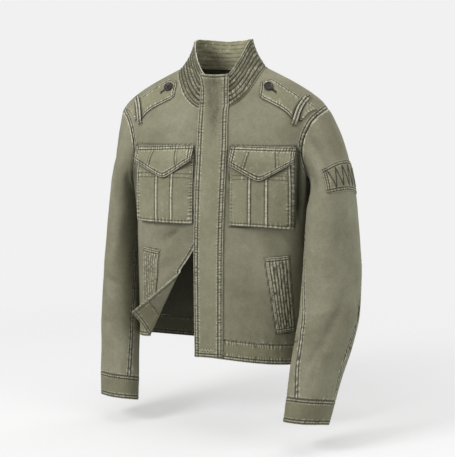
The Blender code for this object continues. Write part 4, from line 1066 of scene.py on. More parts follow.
# ------------------------------------------------------------------ the hem band
# A doubled band of the same twill in three lengths, sewn along the lower edges of the fronts and back with one
# row of stitching and finished with two at the hem. Its turnings have shrunk, so it puckers in short ripples.
BAND_LOW = ((0.0024, 0.0086), 0.00055, 1)
BAND_HIGH = ((0.0016,), 0.00070, 0.5)
BAND_END = ((0.0070,), 0.0003, 1)
BAND_LIFT = 0.0004     # how far bands and cuffs stand out beyond the cloth above
# A shade darker than the shell's twill though of the same cloth, as painted shade; its inner face is painted
# darker, as shade.
BAND_TWILL = washed_twill("washed_twill_band", "#85836B", "#79775F", "#BFBCA5", inner=-0.55)


def band_skin(side):
    def skin(v, u, out):
        v, u = np.broadcast_arrays(v, u)
        if side == 0:
            angle = math.pi / 2 + SEAM_ANGLE + (math.pi - 2 * SEAM_ANGLE) * u
            signed = np.where(angle > math.pi, angle - 2 * math.pi, angle)
            return body_skin(body_at(angle, hem_height(signed) + HEM_BAND * v), out + BAND_LIFT)
        seam = math.pi / 2 - SEAM_ANGLE
        if side > 0:
            angle = CENTRE_ANGLE + (seam - CENTRE_ANGLE) * u
            return body_skin(body_at(angle, hem_height(angle) + HEM_BAND * v), out + BAND_LIFT)
        level = hem_height(np.full(v.shape, RIGHT_OF_CENTRE)) + HEM_BAND * v
        edge = angle_of(right_front_edge(level), level)
        angle = edge + (-seam - edge) * u
        return right_points(angle, hem_height(angle) + HEM_BAND * v, out + BAND_LIFT)
    return skin


def band_form(seed):
    def form(v, u, s, t):
        taut = np.sin(np.pi * np.clip(t / HEM_BAND, 0, 1)) ** 2
        waved = 0.00045 * taut * ripples(s + 0.2 * t, 0.026, seed)
        height = waved + 0.0002 * mottle(s / 0.012, t / 0.020, seed)
        ticks = bell(np.abs(t - HEM_BAND + 0.007), 0.0055) + bell(np.abs(t - 0.0125), 0.0045)
        waves = ripples(s, 0.0066, seed + 2)
        dark = 0.45 * ticks * np.clip(-waves - 0.3, 0, 1)
        return height + 0.00042 * ticks * waves, dark, 0.75 * ticks * waves
    return form


for label, side, seed in (("left", 1, 11), ("right", -1, 12), ("back", 0, 13)):
    near = BAND_END if side < 0 else PLAIN
    band = panel("hem_band_%s_cloth" % label, band_skin(side), near, PLAIN, BAND_LOW, BAND_HIGH, step=0.0022,
                 thick=DOUBLED, form=band_form(seed), seed=seed)
    if side < 0:
        unshade_turned_face(band)
    rows = [row_of(band, "low", d, 0.002, 0.001) for d in BAND_LOW[0]]
    rows.append(row_of(band, "high", BAND_HIGH[0][0]))
    threads = stitched("hem_band_%s_stitches" % label, rows)
    dress(band, "hem_band_" + label, BAND_TWILL, [threads])

# ------------------------------------------------------------------ the collar
# A stand collar of two layers, quilted all over with seven rows of stitching that run round it and open in
# front. The wash has raised the cloth between the rows, rubbed it pale and left each row dark.
COLLAR_TOP = ((0, -0.0125), (22, -0.0110), (45, 0.016), (62, 0.043), (80, 0.064), (110, 0.070), (180, 0.066))
COLLAR_TOP_HALF_WIDTH = 0.065
COLLAR_TOP_FRONT = 0.073
COLLAR_TOP_BACK = 0.057
COLLAR_ROWS = 7
COLLAR_RIB = 0.0007
# Darker than the shell's twill, as painted shade; its inner face is painted lighter than the outer one, as
# light.
COLLAR_TWILL = washed_twill("washed_twill_collar", "#777560", "#5F5D4A", "#C8C5AF", inner=0.90)


def collar_top(angle):
    degrees = np.abs(np.degrees(angle))
    degrees = np.where(degrees > 180, 360 - degrees, degrees)
    ahead = np.cos(angle)
    y = -np.where(ahead > 0, COLLAR_TOP_FRONT, COLLAR_TOP_BACK) * ahead
    return np.stack([COLLAR_TOP_HALF_WIDTH * np.sin(angle), y, through(COLLAR_TOP, degrees)], -1)


def neck_points(angle):
    """The neckline's points from a close table, since every row of the collar needs them."""
    dense = np.linspace(-0.1, 2 * math.pi + 0.1, 1500)
    return np.stack([NECK_HALF_WIDTH * np.sin(angle),
                     -np.where(np.cos(angle) > 0, NECK_FRONT, NECK_BACK) * np.cos(angle),
                     np.interp(angle, dense, neckline(dense)[:, 2])], -1)


def collar_at(angle, share):
    low, high = neck_points(angle), collar_top(angle)
    outward = unit(np.stack([np.sin(angle), -np.cos(angle), np.zeros_like(angle)], -1))
    hollow = 0.004 * np.sin(np.pi * share)
    return low + (high - low) * share[..., None] - outward * hollow[..., None]


def collar_normal(angle, share):
    step = 0.004
    around = collar_at(angle + step, share) - collar_at(angle - step, share)
    up = collar_at(angle, np.minimum(share + step, 1)) - collar_at(angle, np.maximum(share - step, 0))
    return unit(np.cross(around, up))


COLLAR_GROOVES = [k / COLLAR_ROWS for k in range(1, COLLAR_ROWS)] + [0.975]


def make_collar():
    opening = CENTRE_GAP / NECK_FRONT
    around = np.linspace(opening, 2 * math.pi - opening, 270)
    shares = [-0.040, -0.015, 0.010, 0.030, 0.988, 1.0]
    for g in COLLAR_GROOVES:
        shares += [g - 0.034, g - 0.018, g - 0.009, g, g + 0.009, g + 0.018, g + 0.034]
        shares += [g - 0.07]
    shares = np.array(sorted({round(float(np.clip(share, -0.040, 1.0)), 4) for share in shares}))
    angle, share = np.meshgrid(around, shares)
    base, normal = collar_at(angle, share), collar_normal(angle, share)
    s = run_along(base, 1)
    t = run_along(base, 0)
    rising = np.clip(share, 0, 0.999)
    ribs = COLLAR_RIB * 1.15 * np.abs(np.sin(np.pi * COLLAR_ROWS * rising)) ** 0.7
    seam_dark_and_shade = np.zeros(angle.shape)
    for g in COLLAR_GROOVES:
        line = bell(share - g + 0.008 * drift(s / 0.03 + 5 * g, 9), 0.0240)
        line = np.clip(line * (1.0 + 0.15 * drift(s / 0.012 + 9 * g, 7)), 0, 1)
        seam_dark_and_shade = np.maximum(seam_dark_and_shade, line)
    # Dark along the collar's foot: the neck seam's dark, with painted shade where the collar meets the body.
    seam_dark_and_shade = np.maximum(seam_dark_and_shade, 0.75 * bell(np.maximum(share - 0.005, 0), 0.014))
    crest = np.abs(np.sin(np.pi * COLLAR_ROWS * rising)) ** 0.8
    row = np.floor(COLLAR_ROWS * rising)
    waves = ripples(s + 0.011 * row + 0.25 * t, 0.0075, 73) + 0.7 * ripples(s - 0.007 * row, 0.0041, 79)
    waves = waves * crest
    top = bell(1 - share, 0.022)
    height = ribs + 0.00026 * waves + 0.0006 * mottle(s / 0.050, t / 0.03, 75)
    height -= 0.0007 * bell(1 - share, 0.006) + 0.0016 * smooth_step((0.022 - share) / 0.03)
    seam_dark_and_shade = np.maximum(seam_dark_and_shade, 0.50 * crest * np.clip(-waves - 0.35, 0, 1))
    wear_shade = np.clip(0.26 * crest + 0.30 * waves + 1.3 * top + 0.45 * mottle(s / 0.016, t / 0.006, 77), -1, 1)
    turn = np.degrees(angle)
    nick = bell(turn - 55, 2.4) + 0.7 * bell(turn - 63, 1.5)
    wear_shade = np.clip(wear_shade + 1.6 * nick * bell(1 - share, 0.11), -1, 1)
    outer = base + normal * height[..., None]
    inner = base - normal * (DOUBLED + 0.5 * ribs)[..., None]
    made = shell("collar_cloth", outer, inner, np.stack([s, t], -1), wear_shade, seam_dark_and_shade)
    # Inside, the rows are worn away in places and the cloth is blotched.
    uneven = mottle(s / 0.018, t / 0.007, 78)
    for label, values in (("seam_dark_and_shade", 0.75 * seam_dark_and_shade * np.clip(0.55 + 0.70 * uneven, 0.1, 1)),
                          ("wear_and_shade", np.clip(0.55 * mottle(s / 0.010, t / 0.005, 79) + 0.8 * top, -1, 1))):
        both = np.concatenate([(seam_dark_and_shade if label == "seam_dark_and_shade" else wear_shade).ravel(), values.ravel()])
        made.data.attributes[label].data.foreach_set("value", both.astype(np.float32))
    facing = normals_of(outer, normal)
    rows = [int(np.argmin(np.abs(shares - g))) for g in COLLAR_GROOVES]
    flat = (float(s[:, -1].max()), float(t[-1].max()))
    made = SimpleNamespace(piece=made, flat=flat, area=float(area_of(base)))
    return made, [(outer[i], facing[i]) for i in rows]


collar, collar_rows = make_collar()
dress(collar, "collar", COLLAR_TWILL,
      [stitched("collar_stitches", collar_rows, pitch=0.0030)])

# ------------------------------------------------------------------ the front fly
# A doubled strip of twill over the closure, sewn down to the left front along one edge and free along the
# other, with two rows of stitching at each edge and its foot, a rounded upper corner and a tacked bar below.
FLY_EDGES = ((-0.640, -0.0335, 0.0300), (-0.400, -0.0325, 0.0325), (-0.174, -0.0290, 0.0375),
             (-0.090, -0.0320, 0.0330), (-0.012, -0.0370, 0.0290))
FLY_THICK = 0.0026
FLY_CORNER = 0.011
FLY_NEAR = ((0.0024, 0.0092), 0.00070, 1)
FLY_FAR = ((0.0022, 0.0100), 0.00070, 1)
FLY_LOW = ((0.0024, 0.0088), 0.0005, 1)
FLY_HIGH = ((0.0055,), 0.0003, 1)
FLY_LONG = 0.636
FLY_WIDE = 0.066
FLY_TWILL = washed_twill("washed_twill_fly", "#8E8C75", "#807E67", "#C0BDA7")


def fly_skin(v, u, out):
    v, u = np.broadcast_arrays(v, u)
    out = np.broadcast_to(out, v.shape)
    seam_height = float(neckline(np.array(0.0))[2])
    foot, top = float(hem_height(np.array(0.0))) + 0.001, COLLAR_TOP[0][1] - 0.001
    from_edge = u * FLY_WIDE
    corner = FLY_CORNER - np.sqrt(np.maximum(FLY_CORNER ** 2 - np.maximum(FLY_CORNER - from_edge, 0) ** 2, 0))
    height = foot + (top - foot) * v
    height = height - corner * smooth_step((v - 0.93) / 0.07)
    near, far = (through(FLY_EDGES, height, k) for k in (1, 2))
    across = near + (far - near) * u
    plain = front_at(across, np.minimum(height, seam_height))
    low, low_normal = body_skin(plain), body_normal(plain)
    share = np.clip((height - seam_height) / (top - seam_height), 0, 1)
    width = NECK_HALF_WIDTH + (COLLAR_TOP_HALF_WIDTH - NECK_HALF_WIDTH) * share
    angle = np.arcsin(np.clip(across / width, -1, 1))
    high, high_normal = collar_at(angle, share), collar_normal(angle, share)
    on_collar = (height >= seam_height)[..., None]
    base, normal = np.where(on_collar, high, low), unit(np.where(on_collar, high_normal, low_normal))
    clear = COLLAR_RIB + SEAM_GAP + SEWN_LIFT
    return base + normal * (clear + FLY_THICK + out)[..., None]


def fly_form(v, u, s, t):
    height = lumps(s, t, (0.0005, 0.030, 0.075, 21), (0.0003, 0.012, 0.020, 22))
    tacked = bell(t - 0.017, 0.005) * bell(s - 0.021, 0.014)
    bars = tacked * ripples(s + 0.4 * t, 0.0062, 23)
    upper = smooth_step((t - 0.42) / 0.14) * (1 - 0.4 * smooth_step((t - 0.612) / 0.018))
    hollow = upper * bell(s - 0.034 - 0.004 * drift(t / 0.05, 24), 0.027)
    streaks = upper * mottle(s / 0.011, t / 0.055, 25)
    height = height - 0.0016 * hollow + 0.0005 * streaks
    # The upper fly's hollow is painted in shade as well as sunk.
    dark = 0.35 * tacked * (bars < 0) + 0.36 * hollow
    # Besides the tack's wear, painted shade in the hollows and painted light and shade along the streaks.
    return height + 0.0007 * bars, dark, 0.8 * bars + np.clip(height / 0.006, -0.6, 0.15) + 0.20 * streaks


fly = panel("front_fly_cloth", fly_skin, FLY_NEAR, FLY_FAR, FLY_LOW, FLY_HIGH, step=0.0022, thick=FLY_THICK,
            form=fly_form, seed=21)
fly_rows = [row_of(fly, "near", d, 0.002, 0.006) for d in FLY_NEAR[0]]
fly_rows += [row_of(fly, "far", d, 0.001, 0.001) for d in FLY_FAR[0]]
fly_rows += [row_of(fly, "low", d, 0.001, 0.001) for d in FLY_LOW[0]]
fly_rows.append(row_of(fly, "high", FLY_HIGH[0][0], 0.004, 0.001))
TACK_THREAD = thread_material("worn_thread", "#B4B199", "#D6D3BE")    # rubbed almost bare of its dye
marks_at = np.array([(0.24 + 0.052 * k, 0.0150 + 0.0042 * (k % 2) + 0.0008 * (k % 3)) for k in range(10)])
tack = np.concatenate([np.linspace(a, b, 8, endpoint=False) for a, b in zip(marks_at, marks_at[1:])])
on, off = (fly_skin(tack[:, 1:] / FLY_LONG, tack[:, :1], out)[:, 0] for out in (0.0010, 0.0028))
tacked = stitched("front_fly_tack", [(on, unit(off - on))], pitch=0.0019, length=0.0028, width=0.0013,
                  height=0.0009, finish=TACK_THREAD)
dress(fly, "front_fly", FLY_TWILL,
      [stitched("front_fly_stitches", fly_rows), tacked])

# ------------------------------------------------------------------ the chest pockets
# Two bellows pockets of one layer of twill on short gussets, each with two stitched pleats down its face and
# two rows across that hold them. The edges stand up and have worn pale, and the bag is sewn round its foot.
POCKET_TOP = -0.183
POCKET_BOTTOM = {1: -0.3340, -1: -0.3325}
POCKET_INNER = {1: 0.0473, -1: 0.0358}
POCKET_FACE = {1: 0.1660, -1: 0.1695}
POCKET_OUTER = {1: 0.1790, -1: 0.1735}
POCKET_DROOP = {1: 0.0120, -1: 0.0010}
POCKET_PLEATS = {1: (0.0887, 0.1218), -1: (0.0812, 0.1172)}
POCKET_CROSS = {1: (-0.2294, -0.2376), -1: (-0.2280, -0.2365)}    # heights of the rows across it
POCKET_DEPTH = 0.011
PLEAT_HALF = 0.0019
# Shares of the grid given to the gusset and to the foot, and the marks its grid keeps from each edge.
POCKET_WALL = 0.09
POCKET_FOOT = 0.05
POCKET_MARKS = (0.0, 0.0012, 0.0022, 0.0030, 0.0038)
POCKET_SEAM = 0.0030
# How far the face stands out across it, as shares of its width and of the depth.
POCKET_STAND = ((0, 0.0), (0.012, 0.10), (0.115, 0.62), (0.25, 0.95), (0.36, 0.97), (0.5, 0.93), (0.64, 0.97),
                (0.83, 1.0), (1, 0.92))
POCKET_TWILL = washed_twill("washed_twill_pocket", "#8A8871", "#7B7962", "#CBC8B2")


def pocket_place(side, v, u):
    """Metres across from the inner edge, height before and after the corner hangs, and how far a place on the
    bag stands out: the face first, then the gusset at its outer side."""
    v, u = np.broadcast_arrays(v, u)
    inner, face, outer = POCKET_INNER[side], POCKET_FACE[side], POCKET_OUTER[side]
    bottom = POCKET_BOTTOM[side]
    on_face, wall = np.clip(u / (1 - POCKET_WALL), 0, 1), np.clip((u - 1 + POCKET_WALL) / POCKET_WALL, 0, 1)
    foot = np.clip(v / POCKET_FOOT, 0, 1)
    level = bottom + (POCKET_TOP - bottom) * np.clip((v - POCKET_FOOT) / (1 - POCKET_FOOT), 0, 1)
    rises = ((bottom, 0.92), (-0.315, 1.0), (-0.275, 1.0), (-0.235, 0.90), (-0.205, 0.50), (-0.183, 0.0))
    rise = through(rises, level)
    rise = np.where(v < POCKET_FOOT, 0.02 + 0.90 * smooth_step(foot), rise)
    stand = through(POCKET_STAND, on_face) * (1 - wall) ** 1.5
    x = (face - inner) * on_face + (outer - face) * wall - 0.0022 * np.sin(np.pi * wall) * rise
    hang = x / (outer - inner) * (POCKET_TOP - level) / (POCKET_TOP - bottom)
    height = level - 0.0022 * np.sin(np.pi * foot) * (foot < 1) - POCKET_DROOP[side] * hang ** 2
    return x, level, height, rise * stand * POCKET_DEPTH


def pocket_skin(side):
    def skin(v, u, out):
        x, _, height, stand = pocket_place(side, v, u)
        plain = front_at(side * (POCKET_INNER[side] + x), height)
        return body_skin(plain, SEWN_LIFT + CLOTH + stand + out)
    return skin


def pocket_form(side, seed):
    width = POCKET_FACE[side] - POCKET_INNER[side]

    def form(v, u, s, t):
        x, z, _, _ = pocket_place(side, v, u)
        wall = u > 1 - POCKET_WALL
        height = lumps(x, z, (0.0010, 0.040, 0.050, seed), (0.0004, 0.013, 0.019, seed + 1))
        seam_dark_and_shade, wear_shade = np.zeros(u.shape), np.clip(height / 0.0060, -0.5, 0.15)
        for k, place in enumerate(POCKET_PLEATS[side]):
            d = np.abs(x + POCKET_INNER[side] - place)
            band = smooth_step((PLEAT_HALF + 0.0005 - d) / 0.0010)
            ladder = ripples(z, 0.0068, seed + 11 + k) * bell(d, 0.0062, 4)
            line = bell(d - PLEAT_HALF - 0.0009, 0.0012)
            # A pleat's stitched line is painted darker on its outer side, as shade.
            shaded_side = 0.50 + 0.48 * (x + POCKET_INNER[side] > place)
            height += 0.0014 * band + 0.00025 * ladder - 0.0006 * line
            seam_dark_and_shade = np.maximum(seam_dark_and_shade, line * shaded_side * (0.80 + 0.20 * drift(z / 0.004, seed + k)))
            wear_shade += band * (0.42 + 0.25 * drift(z / 0.006, seed + 13 + k)) + 0.20 * ladder
        centre = sum(POCKET_CROSS[side]) / 2
        across = ripples(x, 0.0072, seed + 21) * bell(z - centre, 0.0085, 4)
        height += 0.0003 * across
        wear_shade += 0.12 * across
        for k, row in enumerate(POCKET_CROSS[side]):
            line = bell(z - row, 0.0010) * (0.78 + 0.22 * drift(x / 0.004, seed + 5 + k))
            height -= 0.0003 * line
            seam_dark_and_shade = np.maximum(seam_dark_and_shade, 0.62 * line)
        from_foot = z - POCKET_BOTTOM[side] + 0.0001
        edge = np.minimum(np.minimum(x, np.abs(width - x)), from_foot)
        waves = ripples(np.where(edge == from_foot, x, z), 0.0070, seed + 31)
        strong = np.where(edge == from_foot, 0.9, np.where(x > width / 2, 1.0, 0.40))
        sewn = bell(edge - POCKET_SEAM, 0.0010) * (~wall)
        lip = bell(edge - 0.0006, 0.0013) * strong
        pucker = bell(edge, 0.0095, 3) * waves * (~wall)
        height += 0.00050 * pucker - 0.0004 * sewn * strong
        seam_dark_and_shade = np.maximum(seam_dark_and_shade, 0.75 * sewn * strong)
        wear_shade += 1.0 * lip + 0.50 * pucker
        root = 0.6 * bell(s, 0.0014) + bell(s[:, -1:] - s, 0.0016)
        root = root + bell(t, 0.0016)
        past = x - width
        # Painted shade on the gusset past the face's outer edge, lighter along its folds as painted light.
        deep = 0.55 * smooth_step((past - 0.0008) / 0.0014) + 0.5 * bell(past - 0.0026, 0.0018)
        gusset_fold_light = wall * (0.25 * ripples(t + 0.4 * s, 0.0110, seed + 41) + 0.6 * bell(past - 0.0070, 0.0018))
        seam_dark_and_shade = np.maximum(seam_dark_and_shade, np.clip(0.9 * root + deep - 0.4 * gusset_fold_light, 0, 0.95))
        # The flap's painted shadow on the bag.
        seam_dark_and_shade = np.maximum(seam_dark_and_shade, flap_shadow(side, x + POCKET_INNER[side], z))
        return height * (1 - 0.8 * np.clip(root, 0, 1)), seam_dark_and_shade, wear_shade + gusset_fold_light
    return form


def mixed_steps(marks_at, length, step):
    """Even steps over a length, with these marks kept and no two closer than 0.3 mm."""
    even = np.arange(0, length + step / 2, step)
    kept = sorted(set(marks_at))
    kept += [x for x in even if min(abs(x - m) for m in kept) > 0.45 * step]
    kept = sorted(kept)
    found = [kept[0]]
    for x in kept[1:]:
        if x - found[-1] > 0.0003:
            found.append(x)
    found[-1] = length
    return np.array(found)


def make_pocket(label, side, seed):
    face, drop = POCKET_FACE[side] - POCKET_INNER[side], POCKET_TOP - POCKET_BOTTOM[side]
    pleats = [place - POCKET_INNER[side] for place in POCKET_PLEATS[side]]
    near_pleat = (PLEAT_HALF - 0.0009, PLEAT_HALF - 0.0002, PLEAT_HALF + 0.0008, PLEAT_HALF + 0.0018)
    across = [*POCKET_MARKS, *(face - d for d in POCKET_MARKS)]
    for place in pleats:
        across += [place + sign * d for d in near_pleat for sign in (-1, 1)] + [place]
    across = mixed_steps(across, face, 0.0022) / face
    columns = np.concatenate([across[:-1] * (1 - POCKET_WALL), 1 - POCKET_WALL * np.linspace(1, 0, 9)])
    along = [*POCKET_MARKS, drop]
    for row in POCKET_CROSS[side]:
        along += [row - POCKET_BOTTOM[side] + d for d in ROW_MARKS]
    above = POCKET_FOOT + (1 - POCKET_FOOT) * mixed_steps(along, drop, 0.0022) / drop
    rows = np.concatenate([np.linspace(0, POCKET_FOOT, 6)[:-1], above])
    bag = panel("chest_pocket_%s_cloth" % label, pocket_skin(side), PLAIN, PLAIN, PLAIN, PLAIN, thick=CLOTH,
                form=pocket_form(side, seed), seed=seed, rows=rows, columns=columns)
    edges = [POCKET_SEAM, face - POCKET_SEAM]
    lines = []
    for x in edges + [place + sign * (PLEAT_HALF + 0.0008) for place in pleats for sign in (-1, 1)]:
        j = int(np.argmin(np.abs(columns - x / face * (1 - POCKET_WALL))))
        kept = slice(9 if x in edges else 6, len(rows) - 12)
        lines.append((bag.outer[kept, j], bag.normal[kept, j]))
    for height in [POCKET_BOTTOM[side] + POCKET_SEAM] + list(POCKET_CROSS[side]):
        up = (1 - POCKET_FOOT) * (height - POCKET_BOTTOM[side]) / drop
        i = int(np.argmin(np.abs(rows - POCKET_FOOT - up)))
        lines.append((bag.outer[i, 2:-10], bag.normal[i, 2:-10]))
    threads = stitched("chest_pocket_%s_stitches" % label, lines)
    dress(bag, "chest_pocket_" + label, POCKET_TWILL, [threads])


make_pocket("left", 1, 51)
make_pocket("right", -1, 57)

# ------------------------------------------------------------------ the pocket flaps
# Pointed flaps of two layers, sewn down under a double-stitched band and stitched twice round their free edges,
# each pieced from three parts by two slanting seams.
FLAP_LONG = 0.0745        # length at the point
FLAP_EDGE = ((0.0024, 0.0086), 0.00050, 1)
FLAP_BAND = ((0.0019, 0.0088), 0.00055, 0.5)
# x of each seam below the band and at the lower edge
FLAP_SEAMS = {1: ((0.0864, 0.0748), (0.1396, 0.1391)), -1: ((0.0781, 0.0706), (0.1339, 0.1358))}


def flap_place(side, v, u):
    """x and height of a place on a flap, and the height of its sewn edge above it."""
    v, u = np.broadcast_arrays(v, u)
    top_inner, top_outer = np.array(FLAP_OUTLINE[side][:2])
    top, low = top_inner + (top_outer - top_inner) * u[..., None], flap_foot(side, u)
    length = np.linalg.norm(top - low, axis=-1)
    edge, band, metres = 0.0122, 0.0115, v * FLAP_LONG
    share = np.clip((metres - edge) / (FLAP_LONG - edge - band), 0, 1)
    up = np.where(metres < edge, metres, edge + (length - edge - band) * share)
    up = np.where(FLAP_LONG - metres < band, length - FLAP_LONG + metres, up)
    place = low + (top - low) * (up / length)[..., None]
    return place[..., 0], place[..., 1], top[..., 1]


def flap_skin(side):
    def skin(v, u, out):
        x, height, top = flap_place(side, v, u)
        clear = CLOTH + POCKET_DEPTH + 5 * SEAM_GAP - SEWN_LIFT
        lift = SEWN_LIFT + clear * smooth_step((top + 0.001 - height) / 0.037)
        return body_skin(front_at(side * x, height), lift + DOUBLED + out)
    return skin


def flap_form(side, seed):
    def form(v, u, s, t):
        x, z, top = flap_place(side, v, u)
        height = lumps(x, z, (0.0011, 0.045, 0.040, seed), (0.0004, 0.014, 0.014, seed + 1))
        seam_dark_and_shade, wear_shade = np.zeros(u.shape), np.clip(height / 0.0060, -0.5, 0.15)
        fade = smooth_step((top - 0.009 - z) / 0.003) * smooth_step((t - 0.009) / 0.003)
        for k, (high, low) in enumerate(FLAP_SEAMS[side]):
            line_x = high + (low - high) * np.clip((top - 0.010 - z) / 0.046, 0, 1)
            d = (x - line_x) * (1 if k else -1)
            line = (bell(d, 0.0013) + 0.55 * bell(d - 0.0052, 0.0011)) * fade
            welt = bell(d - 0.0026, 0.0018) * fade
            waves = ripples(z, 0.0060, seed + 8 + k)
            height += 0.0005 * welt + 0.0003 * welt * waves - 0.0004 * line
            seam_dark_and_shade = np.maximum(seam_dark_and_shade, 0.95 * np.clip(line, 0, 1))
            wear_shade += 0.10 * welt + 0.30 * welt * waves
        return height, seam_dark_and_shade, wear_shade
    return form


for label, side, seed in (("left", 1, 61), ("right", -1, 67)):
    flap = panel("pocket_flap_%s_cloth" % label, flap_skin(side), FLAP_EDGE, FLAP_EDGE, FLAP_EDGE, FLAP_BAND,
                 step=0.0022, thick=DOUBLED, form=flap_form(side, seed), seed=seed)
    lines = []
    for edge, sewn in (("near", FLAP_EDGE), ("far", FLAP_EDGE), ("low", FLAP_EDGE), ("high", FLAP_BAND)):
        for k, d in enumerate(sewn[0]):
            trim = 0.002 if edge == "high" else (0.0025, 0.0088)[k]
            lines.append(row_of(flap, edge, d, trim, trim))
    dress(flap, "pocket_flap_" + label, POCKET_TWILL,
          [stitched("pocket_flap_%s_stitches" % label, lines)])

# ------------------------------------------------------------------ the hand pocket welts
# Slanting welts of two layers, quilted by rows of stitching along their length and bound round twice.
WELT_RIBS = 7
WELT_WIDE = 0.040
WELT_SIDE = ((0.0020,), 0.00035, 1)
WELT_END = ((0.0020, 0.0075), 0.00040, 1)
WELT_TWILL = washed_twill("washed_twill_welt", "#838169", "#72705A", "#C2BFA8")


def welt_skin(side):
    top, bottom = (np.array(row) for row in SEWN_ON[side][1])

    def skin(v, u, out):
        v, u = np.broadcast_arrays(v, u)
        height, inner, outer = (bottom[i] + (top[i] - bottom[i]) * v for i in range(3))
        plain = front_at(side * (inner + (outer - inner) * u), height + 0.003 * u)
        return body_skin(plain, 0.0008 + CLOTH + out)
    return skin


def welt_form(seed, strong):
    def form(v, u, s, t):
        ribs = np.abs(np.sin(np.pi * WELT_RIBS * np.clip(u, 0.0001, 0.9999))) ** 0.8
        rib = np.round(WELT_RIBS * u)
        d = np.abs(WELT_RIBS * u - rib + 0.07 * drift(t / 0.020 + 5 * rib, seed)) / WELT_RIBS * s[:, -1:]
        line = bell(d, 0.0014) * (0.80 + 0.30 * drift(t / 0.006 + 3 * rib, seed + 1))
        line = line * (np.minimum(u, 1 - u) > 0.06)
        place = s / 0.0024 + 0.3 * drift(t / 0.010, seed + 2)
        dashes = np.clip(mottle(place, t / 0.0110, seed + 3, 1) - 0.30, 0, 1)
        inside = smooth_step((np.minimum(t, t[-1] - t) - 0.008) / 0.002)
        each = np.floor(WELT_RIBS * np.clip(u, 0, 0.999))
        waves = 0.8 * drift(t / 0.0042 + 7.3 * each, seed + 4) + 0.4 * drift(t / 0.0019 + 3.1 * each, seed)
        waves = ribs * waves
        height = 0.0008 * ribs + 0.00035 * waves + 0.0004 * mottle(s / 0.02, t / 0.03, seed)
        height = height - 0.0006 * dashes * inside
        dark = np.clip(np.maximum(line, 1.3 * dashes) * inside, 0, 1) * strong
        return height, dark, strong * (0.38 * ribs + 0.50 * waves)
    return form


for label, side, seed in (("left", 1, 71), ("right", -1, 77)):
    across = [0.0, 0.0008, 0.039, WELT_WIDE]
    for k in range(1, WELT_RIBS):
        across += [WELT_WIDE * k / WELT_RIBS + d for d in (-0.0016, -0.0007, 0.0, 0.0007, 0.0016)]
    across += [WELT_WIDE * (k + 0.5) / WELT_RIBS for k in range(WELT_RIBS)]
    columns = mixed_steps(across, WELT_WIDE, 0.02) / WELT_WIDE
    strong = 1.0 if side > 0 else 0.55
    welt = panel("hand_pocket_welt_%s_cloth" % label, welt_skin(side), WELT_SIDE, WELT_SIDE, WELT_END,
                 WELT_END, step=0.0019, form=welt_form(seed, strong), seed=seed, columns=columns)
    lines = [row_of(welt, edge, d, 0.001, 0.001) for edge in ("low", "high") for d in WELT_END[0]]
    lines += [row_of(welt, edge, WELT_SIDE[0][0], 0.001, 0.001) for edge in ("near", "far")]
    for k in range(1, WELT_RIBS):
        j = int(np.argmin(np.abs(columns - k / WELT_RIBS)))
        lines.append((welt.outer[:, j], welt.normal[:, j]))
    dress(welt, "hand_pocket_welt_" + label, WELT_TWILL,
          [stitched("hand_pocket_welt_%s_stitches" % label, lines, pitch=0.0030, length=0.0023)])

# ------------------------------------------------------------------ the shoulder straps and their loops
# Doubled straps of twill, caught in the armhole seam and pointed towards the collar, edged with two rows of
# stitching. Each runs under a narrow loop sewn down on both sides of it and ends in a bound buttonhole.
LOOP_ENDS = ((0.2010, 0.0215), (0.1740, 0.0720))
LOOP_HALF = 0.0050
BUTTON_AT = (0.1138, 0.0472)
BUTTONHOLE_END = (0.1330, 0.0505)
BUTTONHOLE_STITCHES = 44
STRAP_ROWS = ((0.0030,), 0.00055, 1)
LOOP_SIDE = ((0.0043,), 0.0003, 1)
LOOP_END = ((0.0022,), 0.0002, 1)
STRAP_TWILL = washed_twill("washed_twill_strap", "#87856D", "#7A7861", "#CDCAB5")


def over_shoulder(side, out, forward):
    return np.stack([side * out, -forward, height_over(side * out, -forward)], -1)


def strap_place(v, u):
    edges = np.array(STRAP_EDGES)
    v, u = np.broadcast_arrays(v, u)
    row = (1 - v) * (len(edges) - 1)
    columns = [np.interp(row, range(len(edges)), edges[:, i]) for i in range(4)]
    return columns[0] + (columns[2] - columns[0]) * u, columns[1] + (columns[3] - columns[1]) * u


def strap_skin(side):
    def skin(v, u, out):
        across, forward = strap_place(v, u)
        return body_skin(over_shoulder(side, across, forward), SEWN_LIFT + DOUBLED + out)
    return skin


def loop_line(side, share):
    """Points down the middle of the loop over the strap, and the direction across it."""
    ends = np.array(LOOP_ENDS)
    plans = [ends[0] + (ends[1] - ends[0]) * (share + step)[..., None] for step in (-0.02, 0, 0.02)]
    before, middle, after = (over_shoulder(side, plan[..., 0], plan[..., 1]) for plan in plans)
    return middle, unit(np.cross(body_normal(middle), unit(after - before)))


